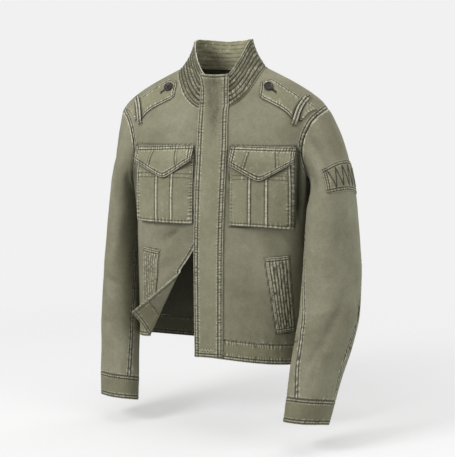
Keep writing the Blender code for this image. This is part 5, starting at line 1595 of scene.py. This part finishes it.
def strap_form(side, seed):
    def form(v, u, s, t):
        height = lumps(s, t, (0.0005, 0.020, 0.030, seed), (0.00025, 0.009, 0.011, seed + 1))
        across, forward = strap_place(v, u)
        start, end = np.array(BUTTON_AT), np.array(BUTTONHOLE_END)
        way = unit(end - start)
        along = (across - start[0]) * way[0] + (forward - start[1]) * way[1]
        aside = (across - start[0]) * way[1] - (forward - start[1]) * way[0]
        long = float(np.linalg.norm(end - start))
        hole = bell(aside, 0.0009) * smooth_step((long - along) / 0.002) * smooth_step(along / 0.002)
        ends = np.array(LOOP_ENDS)
        axis = unit(ends[1] - ends[0])
        on_axis = (across - ends[0, 0]) * axis[0] + (forward - ends[0, 1]) * axis[1]
        share = on_axis / np.linalg.norm(ends[1] - ends[0])
        from_loop = np.abs((across - ends[0, 0]) * axis[1] - (forward - ends[0, 1]) * axis[0])
        _, sideways = loop_line(side, np.clip(share, 0, 1))
        # Painted shadow on the strap along both sides of the loop; the buttonhole's slit beside it is a real
        # opening.
        under = bell(from_loop / np.linalg.norm(sideways[..., :2], axis=-1) - LOOP_HALF, 0.0027)
        edge = np.minimum(s, s[:, -1:] - s)
        waves = ripples(t, 0.0085, seed + 5) * bell(edge - 0.006, 0.003)
        dark = np.maximum(hole, 0.95 * under)
        return height - 0.0010 * hole - 0.0003 * under + 0.0003 * waves, dark, height / 0.0020 + 0.5 * waves
    return form


def loop_skin(side):
    def skin(v, u, out):
        v, u = np.broadcast_arrays(v, u)
        over = SEWN_LIFT + DOUBLED + 2 * SEAM_GAP
        low = SEWN_LIFT + SEAM_GAP
        lift = low + (over - low) * smooth_step((v - 0.12) / 0.09) * smooth_step((1.0 - v) / 0.07)
        middle, across = loop_line(side, v)
        place = middle + across * LOOP_HALF * (2 * u[..., None] - 1)
        return body_skin(over_shoulder(side, side * place[..., 0], -place[..., 1]), lift + 0.0015 + out)
    return skin


def loop_form(v, u, s, t):
    height = 0.0003 * mottle(s / 0.010, t / 0.012, 3)
    tacked = bell(np.minimum(v, 1 - v) - 0.065, 0.02)
    middle = 0.9 * bell((u - 0.5) * 2 * LOOP_HALF, 0.0015)
    return height, np.maximum(0.7 * tacked, middle), height / 0.0020


for label, side, seed in (("left", 1, 81), ("right", -1, 87)):
    strap = panel("shoulder_strap_%s_cloth" % label, strap_skin(side), STRAP_ROWS, STRAP_ROWS, STRAP_ROWS,
                  PLAIN, step=0.0021, thick=DOUBLED, form=strap_form(side, seed), seed=seed)
    lines = [row_of(strap, edge, d, 0.002, 0.001) for edge in ("near", "far", "low") for d in STRAP_ROWS[0]]
    threads = stitched("shoulder_strap_%s_stitches" % label, lines, pitch=0.0031)
    places, ups, ways = [], [], []
    start, end = np.array(BUTTON_AT), np.array(BUTTONHOLE_END)
    way = unit(end - start)
    across = np.array([way[1], -way[0]])
    level = np.array([side * across[0], -across[1], 0.0])
    for share in np.linspace(0.0, 1.0, BUTTONHOLE_STITCHES):
        for hand in (-1, 1):
            spot = start + (end - start) * share + across * hand * 0.0013
            plain = over_shoulder(side, spot[:1], spot[1:])
            up = body_normal(plain)[0]
            places.append(body_skin(plain, SEWN_LIFT + DOUBLED + 0.0003)[0])
            ups.append(up)
            ways.append(unit(level - up * (side * across[0] * up[0] - across[1] * up[1])))
    bound = laid_stitches("buttonhole_%s_stitches" % label, places, ups, ways, length=0.0023, height=0.0007)
    dress(strap, "shoulder_strap_" + label, STRAP_TWILL,
          [threads, bound])
    loop = panel("strap_loop_%s_cloth" % label, loop_skin(side), LOOP_SIDE, LOOP_SIDE, LOOP_END, LOOP_END,
                 step=0.0017, thick=0.0015, form=loop_form, seed=seed + 2)
    lines = [row_of(loop, edge, LOOP_SIDE[0][0], 0.0015, 0.0015) for edge in ("near", "far")]
    lines += [row_of(loop, edge, LOOP_END[0][0]) for edge in ("low", "high")]
    places, ups, ways = [], [], []
    for v in (0.045, 0.080, 0.115, 0.955, 0.975):
        i = int(np.argmin(np.abs(loop.t[:, 0] - v * loop.t[-1, 0])))
        for j in np.linspace(1, loop.outer.shape[1] - 2, 4).astype(int):
            places.append(loop.outer[i, j] + loop.normal[i, j] * 0.0003)
            ups.append(loop.normal[i, j])
            ways.append(unit(loop.outer[i, -1] - loop.outer[i, 0]))
    knots = laid_stitches("strap_loop_%s_knots" % label, places, ups, ways, length=0.0036, width=0.0012,
                          height=0.0016, seed=seed)
    dress(loop, "strap_loop_" + label, STRAP_TWILL,
          [stitched("strap_loop_%s_stitches" % label, lines, pitch=0.0028, length=0.0021), knots])

# ------------------------------------------------------------------ the buttons
# Round four-holed buttons of dark horn, 21 mm across, turned with a raised rim and a dished middle, polished
# and sewn on with a cross of thread.
BUTTON_RADIUS = 0.0105
BUTTON_PROFILE = ((0.0, 0.0), (0.55, 0.0), (0.80, 0.0004), (0.93, 0.0011), (0.99, 0.0019), (1.0, 0.0024),
                  (0.985, 0.0030), (0.945, 0.0035), (0.885, 0.0038), (0.825, 0.0037), (0.770, 0.0033),
                  (0.730, 0.0029), (0.660, 0.0026), (0.50, 0.0025), (0.25, 0.00245), (0.0, 0.0024))
HOLE_AT = 0.0021
HOLE_RADIUS = 0.00085
DRILL_SIDES = 20


def horn_material():
    """Buffalo horn, polished: near black with brown streaks. Horn's index is about 1.56."""
    made, tree, shader, place = new_material("dark_horn")
    drawn = add(tree, "ShaderNodeMapping", {"Vector": place, "Scale": (260.0, 60.0, 200.0)}).outputs[0]
    streaks = noise(tree, drawn, 1.0, 4.0, Distortion=0.8)
    tone = blended(tree, ranged(tree, streaks, (0.40, 0.72)), linear("#0F0E11"), linear("#2C2523"))
    tree.links.new(tone, shader.inputs["Base Color"])
    tree.links.new(ranged(tree, streaks, wanted=(0.34, 0.52)), shader.inputs["Roughness"])
    shader.inputs["IOR"].default_value = 1.56
    shader.inputs["Specular IOR Level"].default_value = 0.35
    shader.inputs["Coat Weight"].default_value = 0.10
    shader.inputs["Coat Roughness"].default_value = 0.25
    return made


HORN = horn_material()


def turned_button(name, seat, normal):
    """A lathe-turned disc with four holes bored through it."""
    first = unit(np.cross(normal, np.array([0.0, 1.0, 0.0])))
    second = np.cross(normal, first)
    around = 72
    turns = np.linspace(0, 2 * math.pi, around, endpoint=False)
    points, faces = [seat + normal * 0.0], []
    rings = BUTTON_PROFILE[1:-1]
    for share, lift in rings:
        for turn in turns:
            spoke = first * math.cos(turn) + second * math.sin(turn)
            points.append(seat + normal * lift + spoke * share * BUTTON_RADIUS)
    points.append(seat + normal * BUTTON_PROFILE[-1][1])
    top = len(points) - 1
    for k in range(around):
        after = (k + 1) % around
        faces.append((0, 1 + after, 1 + k))
        last = 1 + (len(rings) - 1) * around
        faces.append((top, last + k, last + after))
        for r in range(len(rings) - 1):
            a, b = 1 + r * around, 1 + (r + 1) * around
            faces.append((a + k, a + after, b + after, b + k))
    mesh = bpy.data.meshes.new(name)
    mesh.from_pydata([tuple(p) for p in points], [], faces)
    disc = placed(name + "_disc", mesh)
    drills = []
    for k in range(4):
        turn = math.pi / 4 + k * math.pi / 2
        centre = seat + (first * math.cos(turn) + second * math.sin(turn)) * HOLE_AT
        ring = [[], []]
        for end, lift in enumerate((-0.002, 0.006)):
            for q in range(DRILL_SIDES):
                a = 2 * math.pi * q / DRILL_SIDES
                ring[end].append(tuple(centre + normal * lift
                                       + (first * math.cos(a) + second * math.sin(a)) * HOLE_RADIUS))
        low = list(range(DRILL_SIDES))
        sides = [(q, (q + 1) % DRILL_SIDES, DRILL_SIDES + (q + 1) % DRILL_SIDES, DRILL_SIDES + q) for q in low]
        ends = [tuple(low[::-1]), tuple(q + DRILL_SIDES for q in low)]
        drill_mesh = bpy.data.meshes.new(name + "_drill")
        drill_mesh.from_pydata(ring[0] + ring[1], [], sides + ends)
        drill = placed(name + "_drill", drill_mesh)
        cut = disc.modifiers.new("hole", "BOOLEAN")
        cut.object, cut.solver = drill, "EXACT"
        drills.append(drill)
    bored = bpy.data.meshes.new_from_object(disc.evaluated_get(bpy.context.evaluated_depsgraph_get()))
    bored.name = name
    for old in drills + [disc]:
        bpy.data.objects.remove(old)
    bored.shade_smooth()
    bored.set_sharp_from_angle(angle=math.radians(50))
    made = placed(name, bored)
    made.data.materials.append(HORN)
    return made, first, second


for label, side in (("left", 1), ("right", -1)):
    place = over_shoulder(side, np.array([BUTTON_AT[0]]), np.array([BUTTON_AT[1]]))
    up = body_normal(place)[0]
    seat = body_skin(place, SEWN_LIFT + DOUBLED + 2 * SEAM_GAP)[0]
    button, first, second = turned_button("horn_button_" + label, seat, up)
    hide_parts("strap_button_" + label)
    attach(button, "root")
    places, ways = [], []
    for hand in (-1, 1):
        for k in range(3):
            shift = (k - 1) * 0.00028
            spoke = unit(first * hand + second)
            aside = np.cross(up, spoke)
            places.append(seat + up * (0.0027 + 0.0002 * (hand > 0)) + aside * shift)
            ways.append(spoke)
    cross = laid_stitches("horn_button_%s_thread" % label, places, [up] * len(places), ways,
                          length=2.2 * HOLE_AT, width=0.00042, height=0.0008)
    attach(cross, "root")

# ------------------------------------------------------------------ the sleeves
# Two-piece sleeves of the same twill: an upper piece over the outside of the arm and an under piece inside,
# joined by a double-stitched seam at the front and the back. Both bend a little and crease at the elbow.
LEFT_SLEEVE = (
    (0.2545, 0.026, -0.310, 0.0806, 0.0496, 16),
    (0.2580, 0.036, -0.385, 0.0806, 0.0511, 24),
    (0.2605, 0.053, -0.455, 0.0801, 0.0531, 29),
    (0.2600, 0.074, -0.520, 0.0776, 0.0546, 33),
    (0.2520, 0.100, -0.585, 0.0716, 0.0536, 38),
    (0.2410, 0.124, -0.645, 0.0656, 0.0486, 40),
    (0.2325, 0.142, -0.704, 0.0596, 0.0446, 40),
    (0.2245, 0.155, -0.755, 0.0561, 0.0406, 40),
)
RIGHT_SLEEVE = (
    (0.2460, -0.040, -0.310, 0.0816, 0.0391, 0),
    (0.2525, -0.036, -0.385, 0.0796, 0.0416, 3),
    (0.2560, -0.024, -0.455, 0.0766, 0.0436, 8),
    (0.2550, -0.010, -0.525, 0.0726, 0.0456, 12),
    (0.2520, 0.006, -0.590, 0.0676, 0.0461, 15),
    (0.2490, 0.021, -0.650, 0.0616, 0.0441, 30),
    (0.2455, 0.036, -0.710, 0.0576, 0.0421, 44),
    (0.2415, 0.050, -0.762, 0.0561, 0.0391, 49),
)
# The way the cloth leaves the armhole at its top, middle and bottom: outward and upward.
CAP_LEAVES = {
    1: ((0.54, -0.84), (0.90, -0.40), (0.40, -0.92)),
    -1: ((0.22, -0.97), (0.70, -0.60), (0.35, -0.94)),
}
SLEEVE_COLUMNS = ("out", "forward", "height", "long", "short", "turn")
# share of the length, front seam, back seam
SLEEVE_SEAMS = {
    1: ((0.0, 163.636, -65.455), (0.3, 156, -62), (0.6, 134, -20), (0.75, 130.5, 4), (0.8, 129, 3),
        (0.909, 120, -8), (1.0, 114, -12)),
    -1: ((0.0, 163.636, -65.455), (0.3, 156, -62), (0.6, 143, -38), (0.8, 139, -28), (1.0, 136, -22)),
}
CUFF_TILT = 0.007
CAP_SHARE = 0.36
CUFF_SEAM = CAP_SHARE + (1 - CAP_SHARE) * 6 / 7
# Creases of each sleeve, as metres round it from its outside towards the front, and metres down it from the
# armhole, at each end; bow, reach, depth.
SLEEVE_CREASES = {
    1: (
        (0.100, -0.060, 0.106, 0.130, 0.004, 0.007, 0.0028),
        (0.072, -0.050, 0.080, 0.140, 0.004, 0.008, -0.0026),
        (0.048, -0.055, 0.052, 0.120, 0.003, 0.007, 0.0022),
        (0.128, 0.050, 0.120, 0.150, -0.004, 0.008, -0.0018),
        (0.030, 0.060, 0.040, 0.260, 0.008, 0.014, 0.0013),
        (0.090, 0.210, 0.062, 0.340, 0.006, 0.014, -0.0014),
        (0.150, 0.250, 0.120, 0.330, -0.006, 0.010, 0.0016),
        (0.150, 0.560, 0.050, 0.340, 0.005, 0.014, -0.0032),
        (0.160, 0.425, 0.060, 0.380, 0.008, 0.009, 0.0022),
        (0.165, 0.460, 0.055, 0.415, 0.006, 0.009, -0.0010),
        (0.140, 0.485, 0.030, 0.455, 0.006, 0.008, 0.0015),
        (0.020, 0.360, -0.030, 0.420, -0.006, 0.010, -0.0018),
        (-0.010, 0.440, 0.020, 0.520, 0.004, 0.009, 0.0013),
        (0.090, 0.470, 0.100, 0.560, 0.004, 0.008, -0.0013),
    ),
    -1: (
        (0.060, 0.030, 0.066, 0.190, 0.005, 0.009, 0.0020),
        (0.095, 0.060, 0.086, 0.300, 0.008, 0.012, -0.0020),
        (0.125, 0.040, 0.110, 0.160, -0.005, 0.008, 0.0017),
        (0.030, 0.050, 0.050, 0.260, 0.008, 0.013, -0.0017),
        (0.110, 0.220, 0.090, 0.380, 0.006, 0.010, 0.0018),
        (0.060, 0.300, 0.080, 0.460, 0.006, 0.010, -0.0016),
        (0.145, 0.380, 0.060, 0.345, 0.006, 0.008, -0.0022),
        (0.150, 0.415, 0.070, 0.385, 0.006, 0.008, 0.0018),
        (0.130, 0.455, 0.040, 0.430, 0.006, 0.008, -0.0016),
        (0.090, 0.470, 0.080, 0.560, 0.004, 0.009, 0.0015),
        (0.010, 0.380, 0.020, 0.520, 0.004, 0.010, 0.0012),
    ),
}
SLEEVE_LENGTH = 0.620
CAP_EDGE = ((), 0.00025, 0.55)
ARM_RADIUS = 0.065


def arm_value(side, share, column):
    rows = np.array(LEFT_SLEEVE if side > 0 else RIGHT_SLEEVE)
    keyed = np.column_stack([np.linspace(0, 1, len(rows)), rows])
    return through(keyed, share, SLEEVE_COLUMNS.index(column) + 1)


def arm_centre(side, share):
    x, y = side * arm_value(side, share, "out"), -arm_value(side, share, "forward")
    return np.stack([x, y, arm_value(side, share, "height")], -1)


def arm_at(side, angle, share):
    """A point of the sleeve below its cap: angle 0 is outside, 90 degrees the front."""
    step = 0.01
    above, below = np.maximum(share - step, 0), np.minimum(share + step, 1)
    along = unit(arm_centre(side, below) - arm_centre(side, above))
    level = smooth_step(share / 0.15)[..., None]
    along = unit(along * level + np.array([0.0, 0.0, -1.0]) * (1 - level))
    ahead = np.broadcast_to(np.array([0.0, -1.0, 0.0]), along.shape)
    ahead = unit(ahead - along * np.sum(ahead * along, -1, keepdims=True))
    outward = np.cross(ahead, along) * side
    outward = outward * np.sign(outward[..., :1] * side)
    turn = np.radians(arm_value(side, share, "turn"))
    long, short = arm_value(side, share, "long"), arm_value(side, share, "short")
    radius = long * short / np.hypot(long * np.cos(angle - turn), short * np.sin(angle - turn))
    spoke = outward * np.cos(angle)[..., None] + ahead * np.sin(angle)[..., None]
    tilt = CUFF_TILT * np.cos(angle) * smooth_step((share - 0.4) / 0.45)
    return arm_centre(side, share) + spoke * radius[..., None] + np.array([0.0, 0.0, 1.0]) * tilt[..., None]


def cap_at(side, angle, share):
    """A point of the sleeve's cap, between the armhole (share 0) and the upper arm (share 1)."""
    root = armhole(angle, side) + np.array([side, 0.0, 0.0]) * 0.0013
    end = arm_at(side, angle, np.zeros_like(angle))
    below = arm_at(side, angle, np.full_like(angle, 0.03))
    reach = np.linalg.norm(end - root, axis=-1, keepdims=True)
    level = (1 + np.cos(angle[..., None])) / 2
    top, middle, bottom = np.array(CAP_LEAVES[side])
    upper, lower = middle + (top - middle) * (2 * level - 1), bottom + (middle - bottom) * 2 * level
    leave = np.where(level > 0.5, upper, lower)
    leave = unit(np.stack([side * leave[..., 0], -0.05 * np.sin(angle), leave[..., 1]], -1)) * reach
    arrive = unit(below - end) * reach
    return hermite(share[..., None], root, end, leave, arrive)


def sleeve_at(side, angle, share):
    angle, share = np.broadcast_arrays(np.asarray(angle, float), np.asarray(share, float))
    cap = cap_at(side, angle, np.clip(share / CAP_SHARE, 0, 1))
    arm = arm_at(side, angle, np.clip((share - CAP_SHARE) / (1 - CAP_SHARE), 0, 1))
    return np.where((share < CAP_SHARE)[..., None], cap, arm)


def sleeve_points(side, angle, share, out):
    step = 0.006
    around = sleeve_at(side, angle + step, share) - sleeve_at(side, angle - step, share)
    above, below = np.maximum(share - step, 0), np.minimum(share + step, 1)
    down = sleeve_at(side, angle, below) - sleeve_at(side, angle, above)
    normal = unit(np.cross(around, down)) * side
    return sleeve_at(side, angle, share) + normal * np.broadcast_to(out, angle.shape)[..., None]


def sleeve_height(side, angle, share):
    """How far the creases move the sleeve's cloth, which the patch sewn on it follows."""
    around, down = ARM_RADIUS * angle, SLEEVE_LENGTH * share
    height = 1.05 * creased(around, down, SLEEVE_CREASES[side])
    height += 0.0008 * mottle(around / 0.045, down / 0.090, 90 + side)
    return height + 0.0003 * mottle(around / 0.014, down / 0.022, 95 + side)


def sleeve_place(side, upper, v, u):
    v, u = np.broadcast_arrays(v, u)
    share = (CUFF_SEAM - 0.00025) * (1 - v)
    front, back = (np.radians(through(SLEEVE_SEAMS[side], share, k)) for k in (1, 2))
    gap = SEAM_GAP / 2 / 0.055
    first, last = (back + gap, front - gap) if upper else (front + gap, back + 2 * math.pi - gap)
    return first + (last - first) * u, share


def sleeve_skin(side, upper):
    def skin(v, u, out):
        angle, share = sleeve_place(side, upper, v, u)
        return sleeve_points(side, angle, share, out)
    return skin


def sleeve_form(side, upper):
    def form(v, u, s, t):
        angle, share = sleeve_place(side, upper, v, u)
        angle = np.where(angle > math.pi, angle - 2 * math.pi, angle) if upper else angle
        height = sleeve_height(side, angle, share)
        ends = smooth_step(t / 0.02) * smooth_step((t[-1] - t) / 0.02)
        eased = bell(t[-1] - t, 0.022) * 0.0007 * ripples(s, 0.019, 45 + side)
        drawn = bell(t, 0.026) * 0.0009 * ripples(s, 0.020, 47 + side)
        height = height * (0.35 + 0.65 * ends) + eased + drawn
        # Painted shade in the creases' troughs, both in the dark and in the tone.
        seam_dark_and_shade, wear_shade = 0.20 * np.clip(-height / 0.0036 - 0.15, 0, 1), np.clip(height / 0.0070, -0.12, 0.06)
        if not upper and side > 0:   # the under piece is joined across below the elbow
            d = t - 0.118
            line = bell(d, 0.0011) + 0.7 * bell(d - 0.0062, 0.0010)
            height, seam_dark_and_shade = height - 0.0004 * line, np.clip(np.maximum(seam_dark_and_shade, line), 0, 1)
            wear_shade = wear_shade + 0.6 * bell(d - 0.003, 0.004) * ripples(s, 0.0075, 49)
        return height, seam_dark_and_shade, wear_shade
    return form


for label, side in (("left", 1), ("right", -1)):
    upper = panel("sleeve_upper_%s_cloth" % label, sleeve_skin(side, True), DOUBLE, DOUBLE, PLAIN, CAP_EDGE,
                  step=0.0039, form=sleeve_form(side, True), seed=101 + side, wear=QUIET_WEAR)
    lines = [row_of(upper, edge, d, 0.001, 0.001) for edge in ("near", "far") for d in DOUBLE[0]]
    dress(upper, "sleeve_upper_" + label, SHELL_TWILL,
          [stitched("sleeve_upper_%s_stitches" % label, lines)])
    under = panel("sleeve_under_%s_cloth" % label, sleeve_skin(side, False), PLAIN, PLAIN, PLAIN, CAP_EDGE,
                  step=0.0044, form=sleeve_form(side, False), seed=105 + side, wear=QUIET_WEAR)
    sewing = []
    if side > 0:
        sewing = [stitched("sleeve_under_left_stitches", [row_of(under, "low", d) for d in (0.118, 0.1242)])]
    dress(under, "sleeve_under_" + label, SHELL_TWILL, sewing)

# ------------------------------------------------------------------ the cuffs
# Closed doubled bands of the same twill on the sleeves' ends, stitched twice at the seam and twice at the
# edge.
# Darker than the shell's twill though of the same cloth, as painted shade.
CUFF_TWILL = washed_twill("washed_twill_cuff", "#7B7963", "#6D6B56", "#B4B19B")
CUFF_LOW = ((0.0024, 0.0086), 0.00055, 1)
CUFF_HIGH = ((0.0017, 0.0074), 0.00055, 0)


def cuff_skin(side):
    def skin(v, u, out):
        v, u = np.broadcast_arrays(v, u)
        share = 1 - (1 - CUFF_SEAM - 0.00025) * v
        return sleeve_points(side, math.radians(200) + 2 * math.pi * u, share, out + BAND_LIFT)
    return skin


def cuff_form(v, u, s, t):
    taut = np.sin(np.pi * np.clip(v, 0, 1)) ** 2
    height = 0.0005 * taut * ripples(s, 0.024, 121) + 0.0003 * mottle(s / 0.012, t / 0.018, 122)
    return height, np.zeros(u.shape), np.clip(height / 0.0060, -0.4, 0.08)


for label, side in (("left", 1), ("right", -1)):
    cuff = panel("cuff_%s_cloth" % label, cuff_skin(side), PLAIN, PLAIN, CUFF_LOW, CUFF_HIGH, step=0.0024,
                 thick=DOUBLED, form=cuff_form, seed=125 + side, ring=True, wear=0.2)
    lines = [row_of(cuff, "low", d) for d in CUFF_LOW[0]] + [row_of(cuff, "high", d) for d in CUFF_HIGH[0]]
    dress(cuff, "cuff_" + label, CUFF_TWILL,
          [stitched("cuff_%s_stitches" % label, lines)])

# ------------------------------------------------------------------ the sleeve patch
# A plain band of the same twill sewn round the left upper arm, with a zigzag worked across it in dark thread.
PATCH_EDGES = ((87, 0.153, 0.265), (-38, 0.205, 0.305))
PATCH_ROWS = ((0.0022, 0.0076), 0.00036, 1)
PATCH_TWILL = washed_twill("washed_twill_patch", "#85836C", "#777560", "#B0AD97")
PATCH_THREAD = thread_material("dark_thread", "#2B2A1E", "#3D3C2C")
ZIGZAG_TURNS = 11


def patch_place(v, u):
    v, u = np.broadcast_arrays(v, u)
    front, back = np.array(PATCH_EDGES, float)
    edges = front + (back - front) * u[..., None]
    return np.radians(edges[..., 0]), edges[..., 2] + (edges[..., 1] - edges[..., 2]) * v


def patch_skin(v, u, out):
    angle, share = patch_place(v, u)
    return sleeve_points(1, angle, share, 0.0020 + 0.9 * sleeve_height(1, angle, share) + out)


def patch_form(v, u, s, t):
    height = 0.0003 * mottle(s / 0.016, t / 0.014, 131)
    return height, np.zeros(u.shape), height / 0.0006


patch = panel("sleeve_patch_cloth", patch_skin, PATCH_ROWS, PATCH_ROWS, PATCH_ROWS, PATCH_ROWS, step=0.0021,
              thick=0.0012, form=patch_form, seed=131)
edges = ("near", "far", "low", "high")
lines = [row_of(patch, edge, d, 0.002, 0.002) for edge in edges for d in PATCH_ROWS[0]]
zigzag = []
for shift in (-0.0009, 0.0009):
    corners = [(0.08 + 0.84 * k / ZIGZAG_TURNS, 0.16 if k % 2 else 0.84) for k in range(ZIGZAG_TURNS + 1)]
    line = []
    for (u0, v0), (u1, v1) in zip(corners, corners[1:]):
        for share in np.linspace(0, 1, 12, endpoint=False):
            line.append((v0 + (v1 - v0) * share, u0 + (u1 - u0) * share + shift / 0.14))
    spots = np.array(line)
    on = patch_skin(spots[:, :1], spots[:, 1:], 0.0001)[:, 0]
    off = patch_skin(spots[:, :1], spots[:, 1:], 0.0020)[:, 0]
    zigzag.append((on, unit(off - on)))
worked = stitched("sleeve_patch_zigzag", zigzag, pitch=0.0026, length=0.0032, width=0.0014, height=0.0011,
                  lift=0.0003, finish=PATCH_THREAD)
dress(patch, "sleeve_patch", PATCH_TWILL,
      [stitched("sleeve_patch_stitches", lines, pitch=0.0030), worked])

# ------------------------------------------------------------------ the floor, the lights and the camera
# A plain pale floor under the jacket, soft studio light from the camera's upper left, and a camera at about
# shoulder height, 15 degrees to the wearer's left of the front.
FLOOR = -0.815
AZIMUTH = math.radians(15)
ELEVATION = math.radians(7)
DISTANCE = 2.33
SENSOR = 36.0
LENS = 36 * 1014 / 455


def pale_floor():
    made, tree, shader, place = new_material("pale_floor")
    tone = blended(tree, noise(tree, place, 9.0, 2.0), linear("#F2F2F2"), linear("#F5F5F5"))
    tree.links.new(tone, shader.inputs["Base Color"])
    shader.inputs["Roughness"].default_value = 0.9
    reach = add(tree, "ShaderNodeVectorMath", {0: place}, operation="LENGTH").outputs["Value"]
    fade = ranged(tree, reach, (0.85, 1.8), (0.45, 1.0))
    clear = add(tree, "ShaderNodeBsdfTransparent").outputs[0]
    mix = add(tree, "ShaderNodeMixShader", {0: fade, 1: shader.outputs[0], 2: clear})
    tree.links.new(mix.outputs[0], tree.nodes["Material Output"].inputs["Surface"])
    return made


def disc(name, radius, height, rings=24, around=96):
    points, faces = [(0.0, 0.0, height)], []
    for r in range(1, rings + 1):
        for k in range(around):
            turn = 2 * math.pi * k / around
            points.append((radius * r / rings * math.cos(turn), radius * r / rings * math.sin(turn), height))
    for k in range(around):
        faces.append((0, 1 + k, 1 + (k + 1) % around))
        for r in range(rings - 1):
            a, b = 1 + r * around, 1 + (r + 1) * around
            faces.append((a + k, b + k, b + (k + 1) % around, a + (k + 1) % around))
    mesh = bpy.data.meshes.new(name)
    mesh.from_pydata(points, [], faces)
    return placed(name, mesh)


floor = disc("floor", 2.7, FLOOR)
floor.data.materials.append(pale_floor())

world = bpy.data.worlds.new("studio")
world.use_nodes = True
sky = world.node_tree.nodes["Background"]
sky.inputs["Color"].default_value = linear("#F1F1F1")
seen = add(world.node_tree, "ShaderNodeLightPath").outputs["Is Camera Ray"]
world.node_tree.links.new(ranged(world.node_tree, seen, wanted=(0.42, 1.0)), sky.inputs["Strength"])
bpy.context.scene.world = world


def soft_box(name, place, target, size, power):
    lamp = bpy.data.lights.new(name, "AREA")
    lamp.shape, lamp.size, lamp.energy = "SQUARE", size, power
    made = placed(name, lamp)
    made.location = place
    made.rotation_euler = (Vector(target) - Vector(place)).to_track_quat("-Z", "Y").to_euler()


soft_box("key_light", (-1.7, -2.0, 1.3), (0.0, 0.0, -0.28), 1.0, 67.0)
soft_box("side_light", (2.3, -0.8, 0.3), (0.0, 0.0, -0.40), 1.4, 20.0)
soft_box("top_light", (0.0, -0.7, 2.2), (0.0, 0.0, -0.20), 2.0, 21.0)
soft_box("rear_light", (1.6, 2.4, 1.2), (0.0, 0.0, -0.30), 1.8, 26.0)

right = Vector((math.cos(AZIMUTH), math.sin(AZIMUTH), 0.0))
behind = Vector((math.sin(AZIMUTH) * math.cos(ELEVATION), -math.cos(AZIMUTH) * math.cos(ELEVATION),
                 math.sin(ELEVATION)))
target = right * 0.0082 + Vector((0.0, 0.0, -0.360))
lens = bpy.data.cameras.new("camera")
lens.sensor_fit, lens.sensor_width, lens.lens = "HORIZONTAL", SENSOR, LENS
lens.clip_start, lens.clip_end = 0.05, 50.0
camera = placed("camera", lens)
camera.location = target + behind * DISTANCE
camera.rotation_euler = behind.to_track_quat("Z", "Y").to_euler()
bpy.context.scene.camera = camera
bpy.context.scene.view_settings.view_transform = "Standard"
